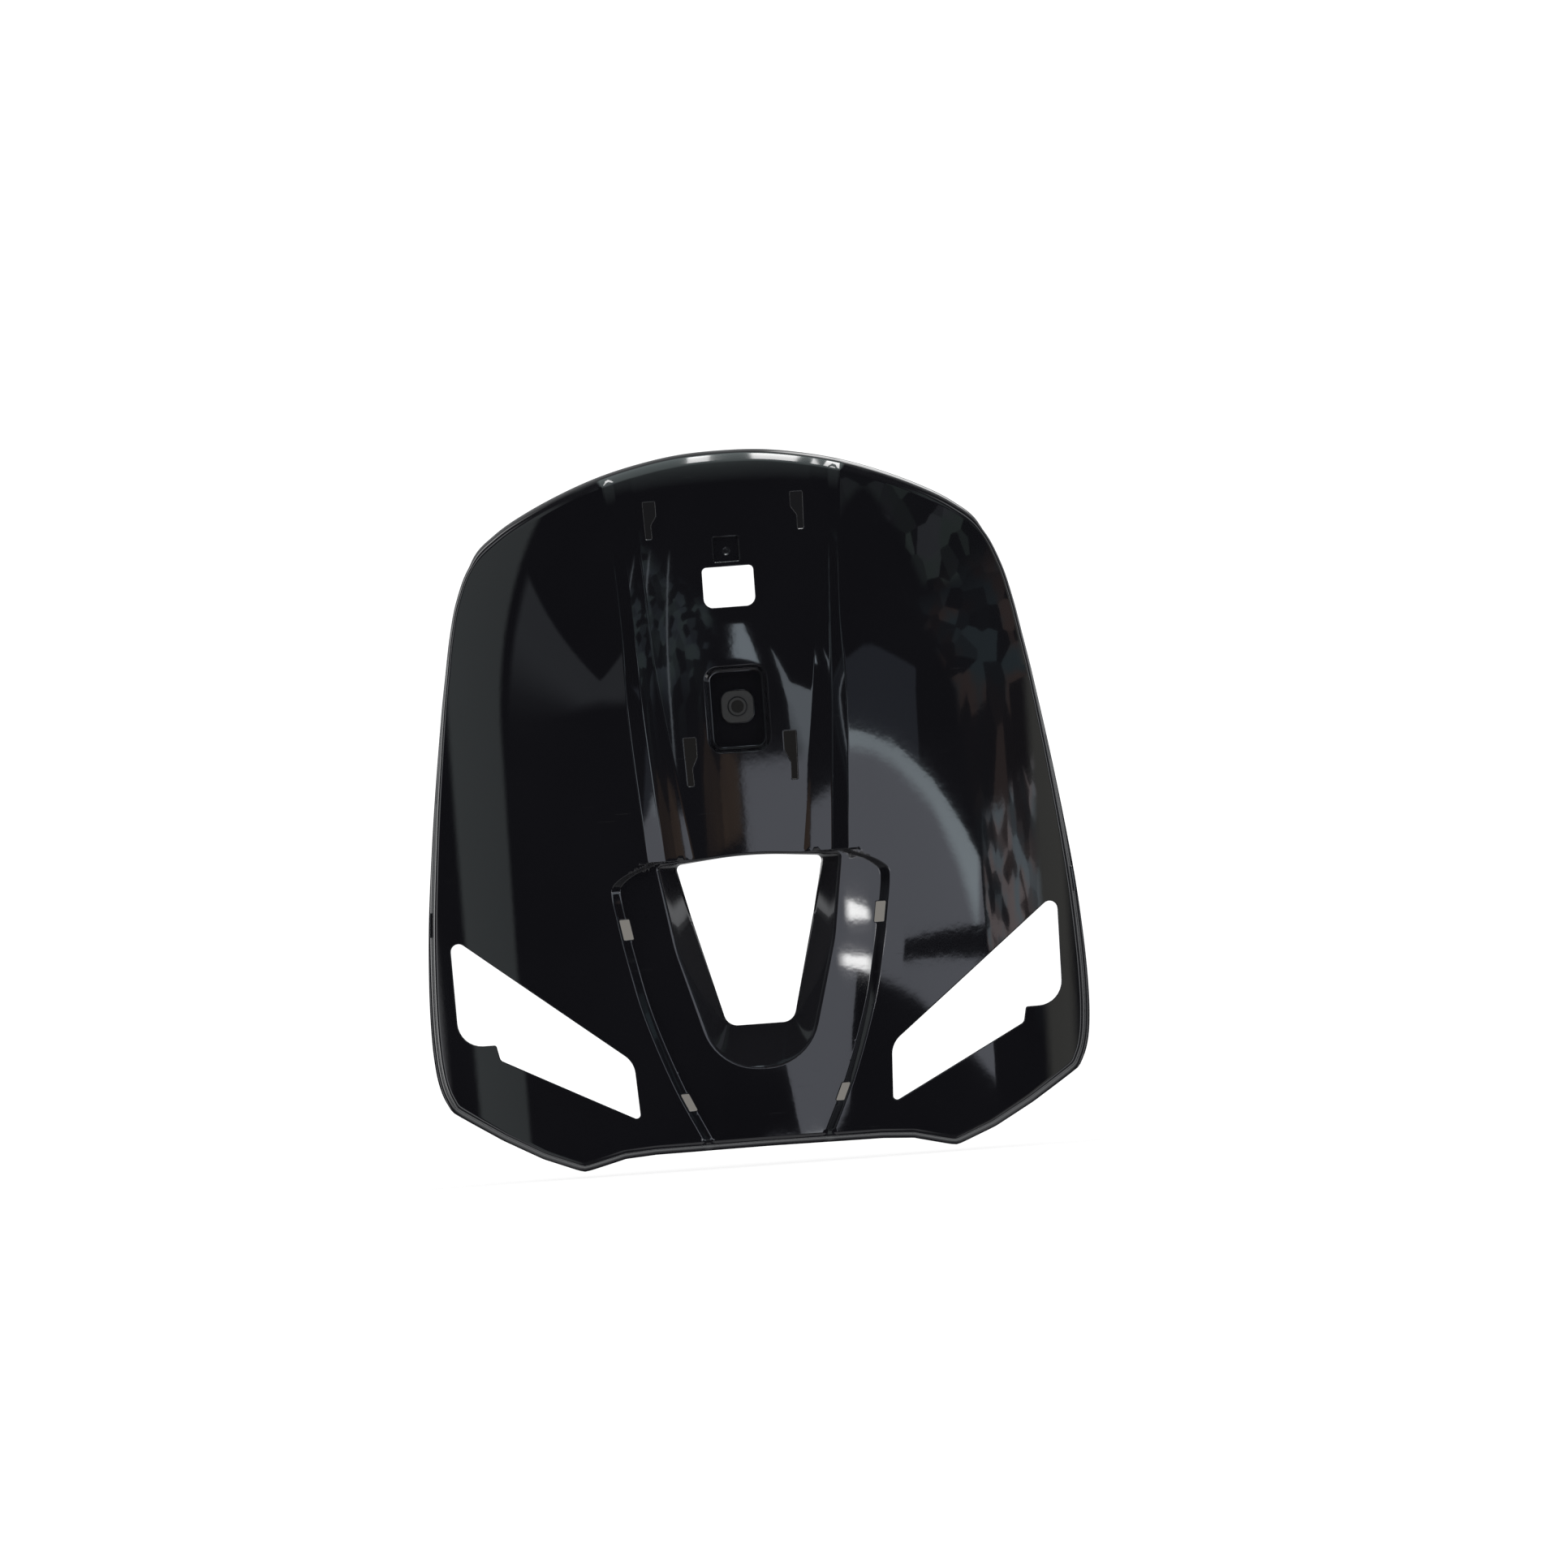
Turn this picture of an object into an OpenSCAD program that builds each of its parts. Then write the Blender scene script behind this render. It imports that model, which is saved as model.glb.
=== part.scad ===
// Front fairing panel of a scooter: one injection moulding with a glossy face.
// X runs across the panel, Z up it, and the face looks towards -Y.
// The origin is the middle of the centre screw's bore.
// The moulding is a curved skin with a returned rim. A channel runs down its middle
// to a stepped seat for a garnish, and a funnel, two lamp windows, clip slots and
// the screw pocket open through it. Collars, bosses and ribs stand on its back.

/* [Overall] */
// Width over the flanks
panel_w = 424; // [380:1:480]
// Height of the top edge above the centre screw
top_rise = 165; // [140:1:190]
// Drop of the two chin tips below the centre screw
chin_drop = 291; // [260:1:320]
// How far the flanks fall back behind the middle
side_fall = 112; // [70:1:150]
// How far the top edge falls back
top_fall = 58; // [30:1:90]
// How far the chin falls back
chin_fall = 26; // [10:1:50]

/* [Moulding] */
// Wall thickness of the skin
wall = 2.8; // [2.2:0.1:3.6]
// Width over which the edge rolls back, as seen from the front
rim_round = 3; // [2:0.5:5]
// How much wider the top edge rolls back
top_roll = 5; // [0:0.5:7]
// Depth of the rim that returns behind the face
rim_depth = 17; // [15:0.5:22]
// Flare of the rim outwards, from none at the top corners to this at the chin
rim_flare = 3.5; // [0:0.5:5]

/* [Channel] */
// Depth of the channel at the top edge
channel_top_d = 2.5; // [1.5:0.5:5]
// Depth of the channel and of the garnish seat at the funnel
seat_d = 6; // [4:0.5:9]
// Height of the crests beside the channel over the face
crest_rise = 1.6; // [0:0.1:3]
// Width over which a crest runs out into the face
crest_reach = 16; // [8:1:30]
// Width of the step round the garnish seat
step_w = 5.4; // [3:0.2:8]

/* [Screw pocket] */
// Width of the pocket
pocket_w = 40; // [36:1:50]
// Height of the pocket
pocket_h = 55; // [48:1:66]
// Corner radius of the pocket
pocket_r = 9; // [5:1:14]
// Depth of the pocket below the channel's floor
pocket_d = 10; // [7:1:16]
// Side of the square pad under the screw head
pad_w = 20.5; // [17:0.5:24]
// Corner radius of the pad
pad_r = 6.5; // [4:0.5:8]
// Height of the pad
pad_h = 2.4; // [1:0.2:4]
// Radius of the ring on the pad
ring_r = 6; // [5:0.5:8]
// Height of the ring
ring_h = 0.8; // [0.4:0.1:2]
// Radius of the screw's bore
screw_r = 4; // [3:0.1:4.5]

/* [Windows and slots] */
// Width of the emblem window
window_w = 33; // [26:1:40]
// Height of the emblem window
window_h = 26; // [22:0.5:34]
// Height of the window's middle above the screw
window_z = 77; // [70:1:84]
// Side of the small recess above the window
dent_w = 16.8; // [12:0.2:18]
// Height of the recess
dent_h = 16.5; // [12:0.5:18]
// Depth of the recess
dent_d = 1.6; // [0.8:0.2:2]
// Radius of the dimple in its floor
dimple_r = 2.4; // [1.5:0.1:3.5]
// Depth of the dimple
dimple_d = 0.6; // [0.2:0.1:0.9]
// Height of a long clip slot
slot_h = 31; // [24:1:36]
// Width of a long clip slot at its head
slot_w = 8; // [6:0.5:11]
// Width of the slot's stem
slot_stem_w = 3.9; // [3:0.1:5]
// Height of the upper clip slots
upper_slot_h = 24; // [18:1:30]
// Width of an upper garnish clip slot
clip_w = 6.2; // [4:0.2:8]
// Height of an upper garnish clip slot
clip_h = 13; // [9:0.5:16]
// Width of a lower garnish clip slot
low_clip_w = 5.2; // [4:0.2:8]
// Height of a lower garnish clip slot
low_clip_h = 11; // [8:0.5:14]
// Ledge between an opening's edge and its collar
collar_ledge = 1.2; // [0.8:0.1:2]
// Thickness of a collar
collar_t = 2; // [1.4:0.1:2.6]
// Depth of the collars round the lamp windows
lamp_collar_d = 9; // [6:1:16]
// Depth of the collar round the emblem window
window_collar_d = 5; // [4:0.5:9]

/* [Funnel] */
// Depth of the funnel behind the seat
funnel_d = 30; // [20:1:40]

/* [Back of the panel] */
// Radius of a screw boss
boss_r = 5; // [4:0.5:7]
// Radius of a screw boss's pilot hole
pilot_r = 1.9; // [1.4:0.1:2.4]
// Depth of the pilot hole
pilot_d = 12; // [8:1:13]
// Length that a screw boss stands off the skin at its foot
boss_h = 16; // [15:1:24]
// Thickness of the ribs
rib_t = 2; // [1.4:0.1:2.6]
// Height of the ribs at the back
rib_h = 8; // [5:1:12]
// Length of an edge tongue
tongue_l = 9; // [6:1:14]
// Width of an edge tongue
tongue_w = 16; // [10:1:24]
// Thickness of an edge tongue
tongue_t = 2.2; // [1.6:0.1:2.8]

/* [Hidden] */

// One overrun serves every cut
over = 4;
// Facets of every round bore and boss
round_fn = 48;
// Points on a rounded corner
corner_n = 4;
// A quarter turn, in degrees
quarter_turn = 90;

half_w = panel_w / 2 - rim_round;
edge_top = top_rise - rim_round;
edge_low = rim_round - chin_drop;
edge_h = edge_top - edge_low;
bore_l = wall + pad_h + ring_h;
floor_back_y = bore_l / 2;
floor_y = floor_back_y - wall;
pad_y = floor_y - pad_h;
ring_y = pad_y - ring_h;

// Half widths of the face inside its rim, by share of the height, from the lower corner to the upper
side_shares = [
    [0.1011, 0.9444], [0.122, 0.9648], [0.15, 0.9775], [0.2, 0.9841], [0.276, 0.9816],
    [0.375, 0.9682], [0.522, 0.9339], [0.66, 0.8931], [0.71, 0.8752], [0.765, 0.8542],
    [0.815, 0.827], [0.864, 0.778],
];
// Heights of the top edge, by share of the half width
top_shares = [
    [0, 0.9889], [0.12, 0.9868], [0.236, 0.9787], [0.354, 0.9657], [0.472, 0.9469],
    [0.6, 0.9207], [0.7, 0.8945], [0.778, 0.864],
];
// Heights of the bottom edge, by share of the half width
chin_shares = [
    [0, 0.0263], [0.35, 0.0253], [0.448, 0.0223], [0.51, 0.015], [0.571, 0.008],
    [0.684, 0.0288], [0.802, 0.0587], [0.882, 0.0823], [0.9444, 0.1011],
];
// Shares of the height for the seat's top edge and its lower end
seat_top_share = 0.426;
// Half widths of the garnish seat, by share of the seat's height, from the bottom edge up
seat_shares = [
    [0, 0.2], [0.196, 0.277], [0.455, 0.354], [0.66, 0.394], [0.79, 0.414], [0.9, 0.427],
    [0.93, 0.419], [0.963, 0.38], [0.99, 0.322], [1, 0.309],
];
// Half widths of the crests, the creases and the channel's floor, by share above the seat
crest_shares = [[0, 0.309], [0.37, 0.338], [0.57, 0.336], [0.8, 0.35], [1, 0.372]];
crease_shares = [[0, 0.258], [0.44, 0.294], [0.75, 0.312], [1, 0.332]];
floor_shares = [[0, 0.166], [0.45, 0.24], [0.75, 0.262], [1, 0.278]];
// Share of the channel's depth that is reached at the crease
crease_depth_share = 0.62;

function mix(a, b, t) = a + (b - a) * t;
function limit(t) = max(0, min(1, t));
function ease(t) = let (c = limit(t)) c * c * (3 - 2 * c);

// A smooth curve through a table of pairs: the span that holds v, and its end slopes
function span(t, v, i = 0) = i >= len(t) - 2 || v < t[i + 1][0] ? i : span(t, v, i + 1);
function lean(t, i) =
    let (a = max(i - 1, 0), b = min(i + 1, len(t) - 1)) (t[b][1] - t[a][1]) / (t[b][0] - t[a][0]);
function follow(t, v) =
    let (
        c = min(max(v, t[0][0]), t[len(t) - 1][0]),
        i = span(t, c),
        w = t[i + 1][0] - t[i][0],
        u = (c - t[i][0]) / w,
        q = u * u,
        k = q * u
    )
    t[i][1] * (2 * k - 3 * q + 1) + t[i + 1][1] * (3 * q - 2 * k)
    + lean(t, i) * w * (k - 2 * q + u) + lean(t, i + 1) * w * (k - q);

function z_at(share) = edge_low + edge_h * share;
function share_at(z) = (z - edge_low) / edge_h;
seat_z = z_at(seat_top_share);
chin_mid_z = z_at(chin_shares[0][1]);
corner_low_z = z_at(side_shares[0][0]);
corner_top_z = z_at(side_shares[len(side_shares) - 1][0]);

function seat_x(z) = half_w * follow(seat_shares, (z - chin_mid_z) / (seat_z - chin_mid_z));
function rise_share(z) = limit((z - seat_z) / (edge_top - seat_z));
function crest_x(z) = half_w * follow(crest_shares, rise_share(z));
function crease_x(z) = half_w * follow(crease_shares, rise_share(z));
function floor_x(z) = half_w * follow(floor_shares, rise_share(z));
function channel_d(z) = mix(seat_d, channel_top_d, ease(rise_share(z)));

// The face before any detail: crowned across, falling back to the top and to the chin
side_power = 2.5;
end_power = 2.1;
channel_y = floor_y - pocket_d;
face_y = channel_y - channel_d(0);
function base_y(x, z) =
    face_y + side_fall * pow(abs(x) / half_w, side_power)
    + (z > 0 ? top_fall * pow(z / edge_top, end_power) : chin_fall * pow(z / edge_low, end_power));

// Depth of the channel and of the seat below that face, less the crests' rise
function channel_relief(ax, z) =
    let (c = crest_x(z), m = crease_x(z), f = floor_x(z), d = channel_d(z))
    ax >= c ? -crest_rise * pow(limit(1 - (ax - c) / crest_reach), 2)
    : ax >= m ? mix(-crest_rise, d * crease_depth_share, (c - ax) / (c - m))
    : ax >= f ? mix(d * crease_depth_share, d, (m - ax) / (m - f))
    : d;
function seat_relief(ax, z) = seat_d * limit((seat_x(z) - ax) / step_w);
function relief(x, z) = z >= seat_z ? channel_relief(abs(x), z) : seat_relief(abs(x), z);
function skin_y(x, z) = base_y(x, z) + relief(x, z);

// Unit normal of the base face, pointing to the back
probe = 0.01;
function back_normal(x, z) =
    let (
        fx = (base_y(x + probe, z) - base_y(x - probe, z)) / (2 * probe),
        fz = (base_y(x, z + probe) - base_y(x, z - probe)) / (2 * probe),
        n = norm([fx, 1, fz])
    )
    [-fx / n, 1 / n, -fz / n];

// Shares at which the grid's columns and rows stand
inner_shares = [0, 0.34, 0.67];
outer_shares = [0.06, 0.16, 0.28, 0.41, 0.54, 0.67, 0.79, 0.89, 0.96, 1];
seat_row_shares = [
    0, 0.05, 0.13, 0.22, 0.31, 0.41, 0.51, 0.61, 0.7, 0.78, 0.85, 0.9, 0.935, 0.963, 0.985, 0.998,
];
top_row_shares = [
    0, 0.05, 0.12, 0.2, 0.29, 0.38, 0.47, 0.56, 0.64, 0.72, 0.79, 0.86, 0.92, 0.965, 1,
];
half_cols = len(inner_shares) + 3 + len(outer_shares);
cols = 2 * half_cols - 1;
rows = len(seat_row_shares) + len(top_row_shares);

// A row's share and the part of the panel that it belongs to
function row_is_low(r) = r < len(seat_row_shares);
function row_share(r) = row_is_low(r) ? seat_row_shares[r] : top_row_shares[r - len(seat_row_shares)];
// The end height of a column at half width x, and the height between it and the seat's top edge
function end_z(r, x) =
    z_at(row_is_low(r) ? lookup(abs(x) / half_w, chin_shares) : follow(top_shares, abs(x) / half_w));
function row_z(r, end) = row_is_low(r) ? mix(end, seat_z, row_share(r)) : mix(seat_z, end, row_share(r));
function flank_z(r) = row_z(r, row_is_low(r) ? corner_low_z : corner_top_z);
function flank_x(r) = half_w * follow(side_shares, share_at(flank_z(r)));
// Three lines lead each row: the crest or seat line and two inside it
function lead_z(r) = row_z(r, row_is_low(r) ? chin_mid_z : edge_top);
function lead_x(r) = row_is_low(r) ? seat_x(lead_z(r)) : crest_x(lead_z(r));
function second_x(r) = row_is_low(r) ? lead_x(r) - step_w : crease_x(lead_z(r));
function third_x(r) = row_is_low(r) ? second_x(r) - 2 * step_w : floor_x(lead_z(r));
// Half width of column k of one half, in row r
function half_x(r, k) =
    let (n = len(inner_shares))
    k < n ? third_x(r) * inner_shares[k]
    : k == n ? third_x(r)
    : k == n + 1 ? second_x(r)
    : k == n + 2 ? lead_x(r)
    : mix(lead_x(r), flank_x(r), outer_shares[k - n - 3]);
function end_row(r) = row_is_low(r) ? 0 : rows - 1;
function node_x(r, c) = let (k = c - half_cols + 1) sign(k) * half_x(r, abs(k));
function node_z(r, c) = row_z(r, end_z(r, node_x(end_row(r), c)));
function face_point(r, c) = let (x = node_x(r, c), z = node_z(r, c)) [x, skin_y(x, z), z];
function back_point(r, c) =
    let (p = face_point(r, c)) p + wall * back_normal(p[0], p[2]);

// The rim: the grid's border in order, and each border point's outward normal
border = concat(
    [for (c = [0:cols - 2]) [0, c]],
    [for (r = [0:rows - 2]) [r, cols - 1]],
    [for (c = [cols - 1:-1:1]) [rows - 1, c]],
    [for (r = [rows - 1:-1:1]) [r, 0]]
);
rim_n = len(border);
border_points = [for (b = border) face_point(b[0], b[1])];
function flat(p) = [p[0], p[2]];
function outward(i) =
    let (
        d = flat(border_points[(i + 1) % rim_n]) - flat(border_points[(i + rim_n - 1) % rim_n])
    )
    [d[1], -d[0]] / norm(d);
// A rim point: out by d and back by e from border point i
function rim_point(i, d, e) =
    let (p = border_points[i], n = outward(i)) [p[0] + n[0] * d, p[1] + e, p[2] + n[1] * d];
// The rim's own form at border point i: how far it rolls and flares, and the face's lean there
roll_from_share = 0.55;
function roll_at(i) =
    rim_round + top_roll * ease((outward(i)[1] - roll_from_share) / (1 - roll_from_share));
function flare_at(z) = rim_flare * ease((corner_top_z - z) / (corner_top_z - corner_low_z));
least_lean = 1;
function lean_at(i) =
    let (p = border_points[i], n = outward(i), b = back_normal(p[0], p[2]))
    max(least_lean, atan(-(b[0] * n[0] + b[2] * n[1]) / b[1]));
// The roll is an arc that leaves the face along its lean and ends straight back, here at turn k of 1
function roll_point(i, k, inset = 0) =
    let (
        w = roll_at(i),
        lean = lean_at(i),
        a = mix(lean, quarter_turn, k),
        r = w / (1 - sin(lean))
    )
    rim_point(i, r * (sin(a) - sin(lean)) - inset * sin(a), r * (cos(lean) - cos(a)) + inset * cos(a));
function flange_point(i, inset = 0) =
    rim_point(i, roll_at(i) + flare_at(border_points[i][2]) - inset, rim_depth);
rim_rings = [
    [for (i = [0:rim_n - 1]) roll_point(i, 1 / 3)],
    [for (i = [0:rim_n - 1]) roll_point(i, 2 / 3)],
    [for (i = [0:rim_n - 1]) roll_point(i, 1)],
    [for (i = [0:rim_n - 1]) flange_point(i)],
    [for (i = [0:rim_n - 1]) flange_point(i, wall)],
    [for (i = [0:rim_n - 1]) roll_point(i, 1, wall)],
    [for (i = [0:rim_n - 1]) roll_point(i, 1 / 2, wall)],
];
last_strip = len(rim_rings);

grid_n = rows * cols;
skin_points = concat(
    [for (r = [0:rows - 1], c = [0:cols - 1]) face_point(r, c)],
    [for (r = [0:rows - 1], c = [0:cols - 1]) back_point(r, c)],
    [for (ring = rim_rings) each ring]
);
function at(r, c, side) = side * grid_n + r * cols + c;
// Point i of strip k: the face's border, the rim's rings, then the back's border
function strip(k, i) =
    let (j = i % rim_n)
    k == 0 ? at(border[j][0], border[j][1], 0)
    : k > last_strip ? at(border[j][0], border[j][1], 1)
    : 2 * grid_n + (k - 1) * rim_n + j;
skin_faces = concat(
    [for (r = [0:rows - 2], c = [0:cols - 2]) each [
        [at(r, c, 0), at(r + 1, c, 0), at(r + 1, c + 1, 0)],
        [at(r, c, 0), at(r + 1, c + 1, 0), at(r, c + 1, 0)],
    ]],
    [for (r = [0:rows - 2], c = [0:cols - 2]) each [
        [at(r, c, 1), at(r + 1, c + 1, 1), at(r + 1, c, 1)],
        [at(r, c, 1), at(r, c + 1, 1), at(r + 1, c + 1, 1)],
    ]],
    [for (k = [0:last_strip], i = [0:rim_n - 1]) each [
        [strip(k, i), strip(k, i + 1), strip(k + 1, i + 1)],
        [strip(k, i), strip(k + 1, i + 1), strip(k + 1, i)],
    ]]
);

module skin() {
    polyhedron(skin_points, skin_faces);
}

// An outline with rounded corners: each corner is [x, z, radius]
function corner_points(p, i) =
    let (
        n = len(p),
        q = [p[i][0], p[i][1]],
        a = let (v = [p[(i + n - 1) % n][0], p[(i + n - 1) % n][1]] - q) v / norm(v),
        b = let (v = [p[(i + 1) % n][0], p[(i + 1) % n][1]] - q) v / norm(v),
        open = acos(a * b) / 2,
        reach = p[i][2] / tan(open),
        mid = q + (a + b) / norm(a + b) * p[i][2] / sin(open),
        from = q + a * reach - mid,
        to = q + b * reach - mid,
        turn = acos(max(-1, min(1, from * to / (norm(from) * norm(to))))),
        way = sign(from[0] * to[1] - from[1] * to[0])
    )
    [for (k = [0:corner_n]) let (t = way * turn * k / corner_n)
        mid + [from[0] * cos(t) - from[1] * sin(t), from[0] * sin(t) + from[1] * cos(t)]];
function rounded(p) = [for (i = [0:len(p) - 1]) each corner_points(p, i)];
// The same outline moved outwards by d along each point's normal, for a clockwise outline
function grown(p, d) =
    let (n = len(p))
    [for (i = [0:n - 1])
        let (v = p[(i + 1) % n] - p[(i + n - 1) % n]) p[i] + d * [-v[1], v[0]] / norm(v)];

// A prism along Y over an outline in X and Z
module prism(p, from, to) {
    translate([0, to, 0])
        rotate([quarter_turn, 0, 0])
            linear_extrude(to - from)
                polygon(p);
}
// A ring of four lines of points, closed into a solid
module ring_solid(lines) {
    n = len(lines[0]);
    m = len(lines);
    polyhedron(
        [for (l = lines) each l],
        [for (k = [0:m - 1], i = [0:n - 1]) let (a = k * n, b = ((k + 1) % m) * n, j = (i + 1) % n)
            each [[a + i, b + i, b + j], [a + i, b + j, a + j]]]
    );
}
// A solid through a list of point rings, closed by a tip point at each end
module lofted(rings, front_tip, back_tip) {
    n = len(rings[0]);
    m = len(rings);
    polyhedron(
        [for (l = rings) each l, front_tip, back_tip],
        concat(
            [for (k = [0:m - 2], i = [0:n - 1]) let (a = k * n, b = a + n, j = (i + 1) % n)
                each [[a + i, b + i, b + j], [a + i, b + j, a + j]]],
            [for (i = [0:n - 1]) [m * n, i, (i + 1) % n]],
            [for (i = [0:n - 1]) let (a = (m - 1) * n) [m * n + 1, a + (i + 1) % n, a + i]]
        )
    );
}
function level(p, y) = [for (q = p) [q[0], y, q[1]]];
function on_skin(p, d) = [for (q = p) [q[0], skin_y(q[0], q[1]) + d, q[1]]];
function on_seat(p, d) = [for (q = p) [q[0], base_y(q[0], q[1]) + seat_d + d, q[1]]];
front_y = face_y - crest_rise - over;

// A locating wall that stands on the back round an opening, clear of its edge by a ledge
module collar(p, depth) {
    inner = grown(p, collar_ledge);
    outer = grown(p, collar_ledge + collar_t);
    ring_solid([
        on_skin(outer, wall / 2), on_skin(outer, depth), on_skin(inner, depth), on_skin(inner, wall / 2),
    ]);
}
// A shallow recess that follows the skin
module recess(p, depth) {
    mid = [for (k = [0, 1]) (max([for (q = p) q[k]]) + min([for (q = p) q[k]])) / 2];
    lofted([level(p, front_y), on_skin(p, depth)], [mid[0], front_y, mid[1]],
        [mid[0], skin_y(mid[0], mid[1]) + depth, mid[1]]);
}

// Corners of the openings: share of the half width, share of the height, radius as a share
function placed(p) = [for (q = p) [half_w * q[0], z_at(q[1]), half_w * q[2]]];
lamp_shares = [
    [0.388, 0.061, 0.012], [0.397, 0.145, 0.075], [0.936, 0.343, 0.024],
    [0.93, 0.183, 0.075], [0.816, 0.183, 0.008], [0.806, 0.161, 0.018],
];
mouth_shares = [
    [-0.137, 0.126, 0.165], [-0.242, 0.302, 0.5], [-0.281, 0.42, 0.01], [0, 0.43, 1.2],
    [0.281, 0.42, 0.01], [0.242, 0.302, 0.5], [0.137, 0.126, 0.165],
];
hole_shares = [
    [-0.1, 0.188, 0.04], [-0.186, 0.344, 0.5], [-0.224, 0.42, 0.016], [0, 0.43, 1.2],
    [0.224, 0.42, 0.016], [0.186, 0.344, 0.5], [0.1, 0.188, 0.04],
];
lamp_outline = rounded(placed(lamp_shares));
mouth_outline = rounded(placed(mouth_shares));
hole_outline = rounded(placed(hole_shares));

// An upright rounded frame about a middle
function frame_outline(w, h, z, r, foot_r) = rounded([
    [-w / 2, z - h / 2, foot_r], [-w / 2, z + h / 2, r],
    [w / 2, z + h / 2, r], [w / 2, z - h / 2, foot_r],
]);
window_round = 3;
window_outline = frame_outline(window_w, window_h, window_z, window_round, 2 * window_round);
// Height of the pocket's middle above the screw
pocket_z = -1.5;
pocket_outline = frame_outline(pocket_w, pocket_h, pocket_z, pocket_r, pocket_r);
pad_outline = frame_outline(pad_w, pad_w, 0, pad_r, pad_r);
// Gap between the window and the recess, and the recess's corner radius
dent_gap = 3;
dent_round = 1.3;
dent_z = window_z + window_h / 2 + dent_gap + dent_h / 2;
// Drop of the dimple's middle below the recess's
dimple_drop = 1.4;
dent_outline = frame_outline(dent_w, dent_h, dent_z, dent_round, dent_round);

// The funnel: its outer form, from inside the skin to the back plane, and its cavity
funnel_y = face_y + seat_d + funnel_d;
funnel_mid_z = z_at(mix(mouth_shares[0][1], mouth_shares[3][1], 1 / 2));
module funnel_body() {
    lofted([on_seat(grown(mouth_outline, wall), wall / 2), level(grown(hole_outline, wall), funnel_y)],
        [0, funnel_y - wall, funnel_mid_z], [0, funnel_y, funnel_mid_z]);
}
module funnel_cavity() {
    lofted([level(mouth_outline, front_y), on_seat(mouth_outline, 0), level(hole_outline, funnel_y),
        level(hole_outline, funnel_y + over)],
        [0, front_y, funnel_mid_z], [0, funnel_y + over, funnel_mid_z]);
}

// The screw pocket: its tub, its cavity, and the pad and ring on its floor
tub_share = 0.8;
module pocket_tub() {
    prism(grown(pocket_outline, wall), channel_y + wall * tub_share, floor_back_y);
}
module pocket_cavity() {
    prism(pocket_outline, front_y, floor_y);
}
module along_y(y) {
    translate([0, y, 0])
        rotate([quarter_turn, 0, 0])
            children();
}
module screw_pad() {
    prism(pad_outline, pad_y, floor_y + wall / 2);
    along_y(floor_y + wall / 2)
        cylinder(r = ring_r, h = floor_y + wall / 2 - ring_y, $fn = round_fn);
}
module screw_bore() {
    along_y(floor_back_y + over)
        cylinder(r = screw_r, h = bore_l + 2 * over, $fn = round_fn);
}

// A flag-shaped clip slot: a straight outer edge, a wide head and a narrow stem
slot_lean_share = 0.03;
slot_head_share = 0.4;
slot_taper_share = 0.63;
slot_round = 0.7;
function flag_outline(x, z, w, stem, h) =
    let (foot_x = x - h * slot_lean_share, taper_x = x - h * slot_lean_share * slot_taper_share)
    rounded([
        [foot_x - stem, z - h, slot_round], [taper_x - stem, z - h * slot_taper_share, slot_round],
        [x - w, z - h * slot_head_share, slot_round], [x - w, z, slot_round],
        [x, z, slot_round], [foot_x, z - h, slot_round],
    ]);
slot_x_share = 0.173;
slot_z_share = 0.6;
upper_slot_x_share = 0.246;
upper_slot_z_share = 0.94;
slot_outline =
    flag_outline(half_w * slot_x_share, z_at(slot_z_share), slot_w, slot_stem_w, slot_h);
upper_slot_outline = flag_outline(
    half_w * upper_slot_x_share, z_at(upper_slot_z_share), slot_w, slot_stem_w, upper_slot_h);

// A garnish clip slot at the foot of the seat's step
clip_z_shares = [0.334, 0.082];
// Gap between a clip slot and the seat's outline
clip_gap = 1.4;
function clip_outline(z, w, h) = [
    for (q = [[-1, -1], [-1, 1], [0, 1], [0, -1]])
        let (y = z + q[1] * h / 2) [seat_x(y) - clip_gap + q[0] * w, y]
];
clip_outlines = [
    clip_outline(z_at(clip_z_shares[0]), clip_w, clip_h),
    clip_outline(z_at(clip_z_shares[1]), low_clip_w, low_clip_h),
];

module both_sides() {
    children();
    mirror([1, 0, 0])
        children();
}
module through(p) {
    prism(p, front_y, back_y);
}
back_y = face_y + side_fall + rim_depth + over;

module openings() {
    funnel_cavity();
    pocket_cavity();
    through(window_outline);
    recess(dent_outline, dent_d);
    recess(circle_outline(0, dent_z - dimple_drop, dimple_r), dent_d + dimple_d);
    both_sides() {
        through(lamp_outline);
        through(slot_outline);
        through(upper_slot_outline);
        for (p = clip_outlines)
            through(p);
    }
}

// Screw bosses on the back: share of the half width and of the height
boss_shares = [[0.5, 0.216], [0.71, 0.302], [0.68, 0.088], [0.53, 0.842]];
boss_n = 16;
function circle_outline(x, z, r) =
    [for (i = [0:boss_n - 1]) let (a = -i * 4 * quarter_turn / boss_n) [x + r * cos(a), z + r * sin(a)]];
function boss_end(x, z) = skin_y(x, z) + wall + boss_h;
module screw_boss(x, z) {
    foot = circle_outline(x, z, boss_r);
    lofted([on_skin(foot, wall / 2), level(foot, boss_end(x, z))],
        [x, skin_y(x, z) + wall / 2, z], [x, boss_end(x, z), z]);
}
module pilot_hole(x, z) {
    translate([x, boss_end(x, z) + over, z])
        rotate([quarter_turn, 0, 0])
            cylinder(r = pilot_r, h = pilot_d + over, $fn = round_fn);
}

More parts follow.
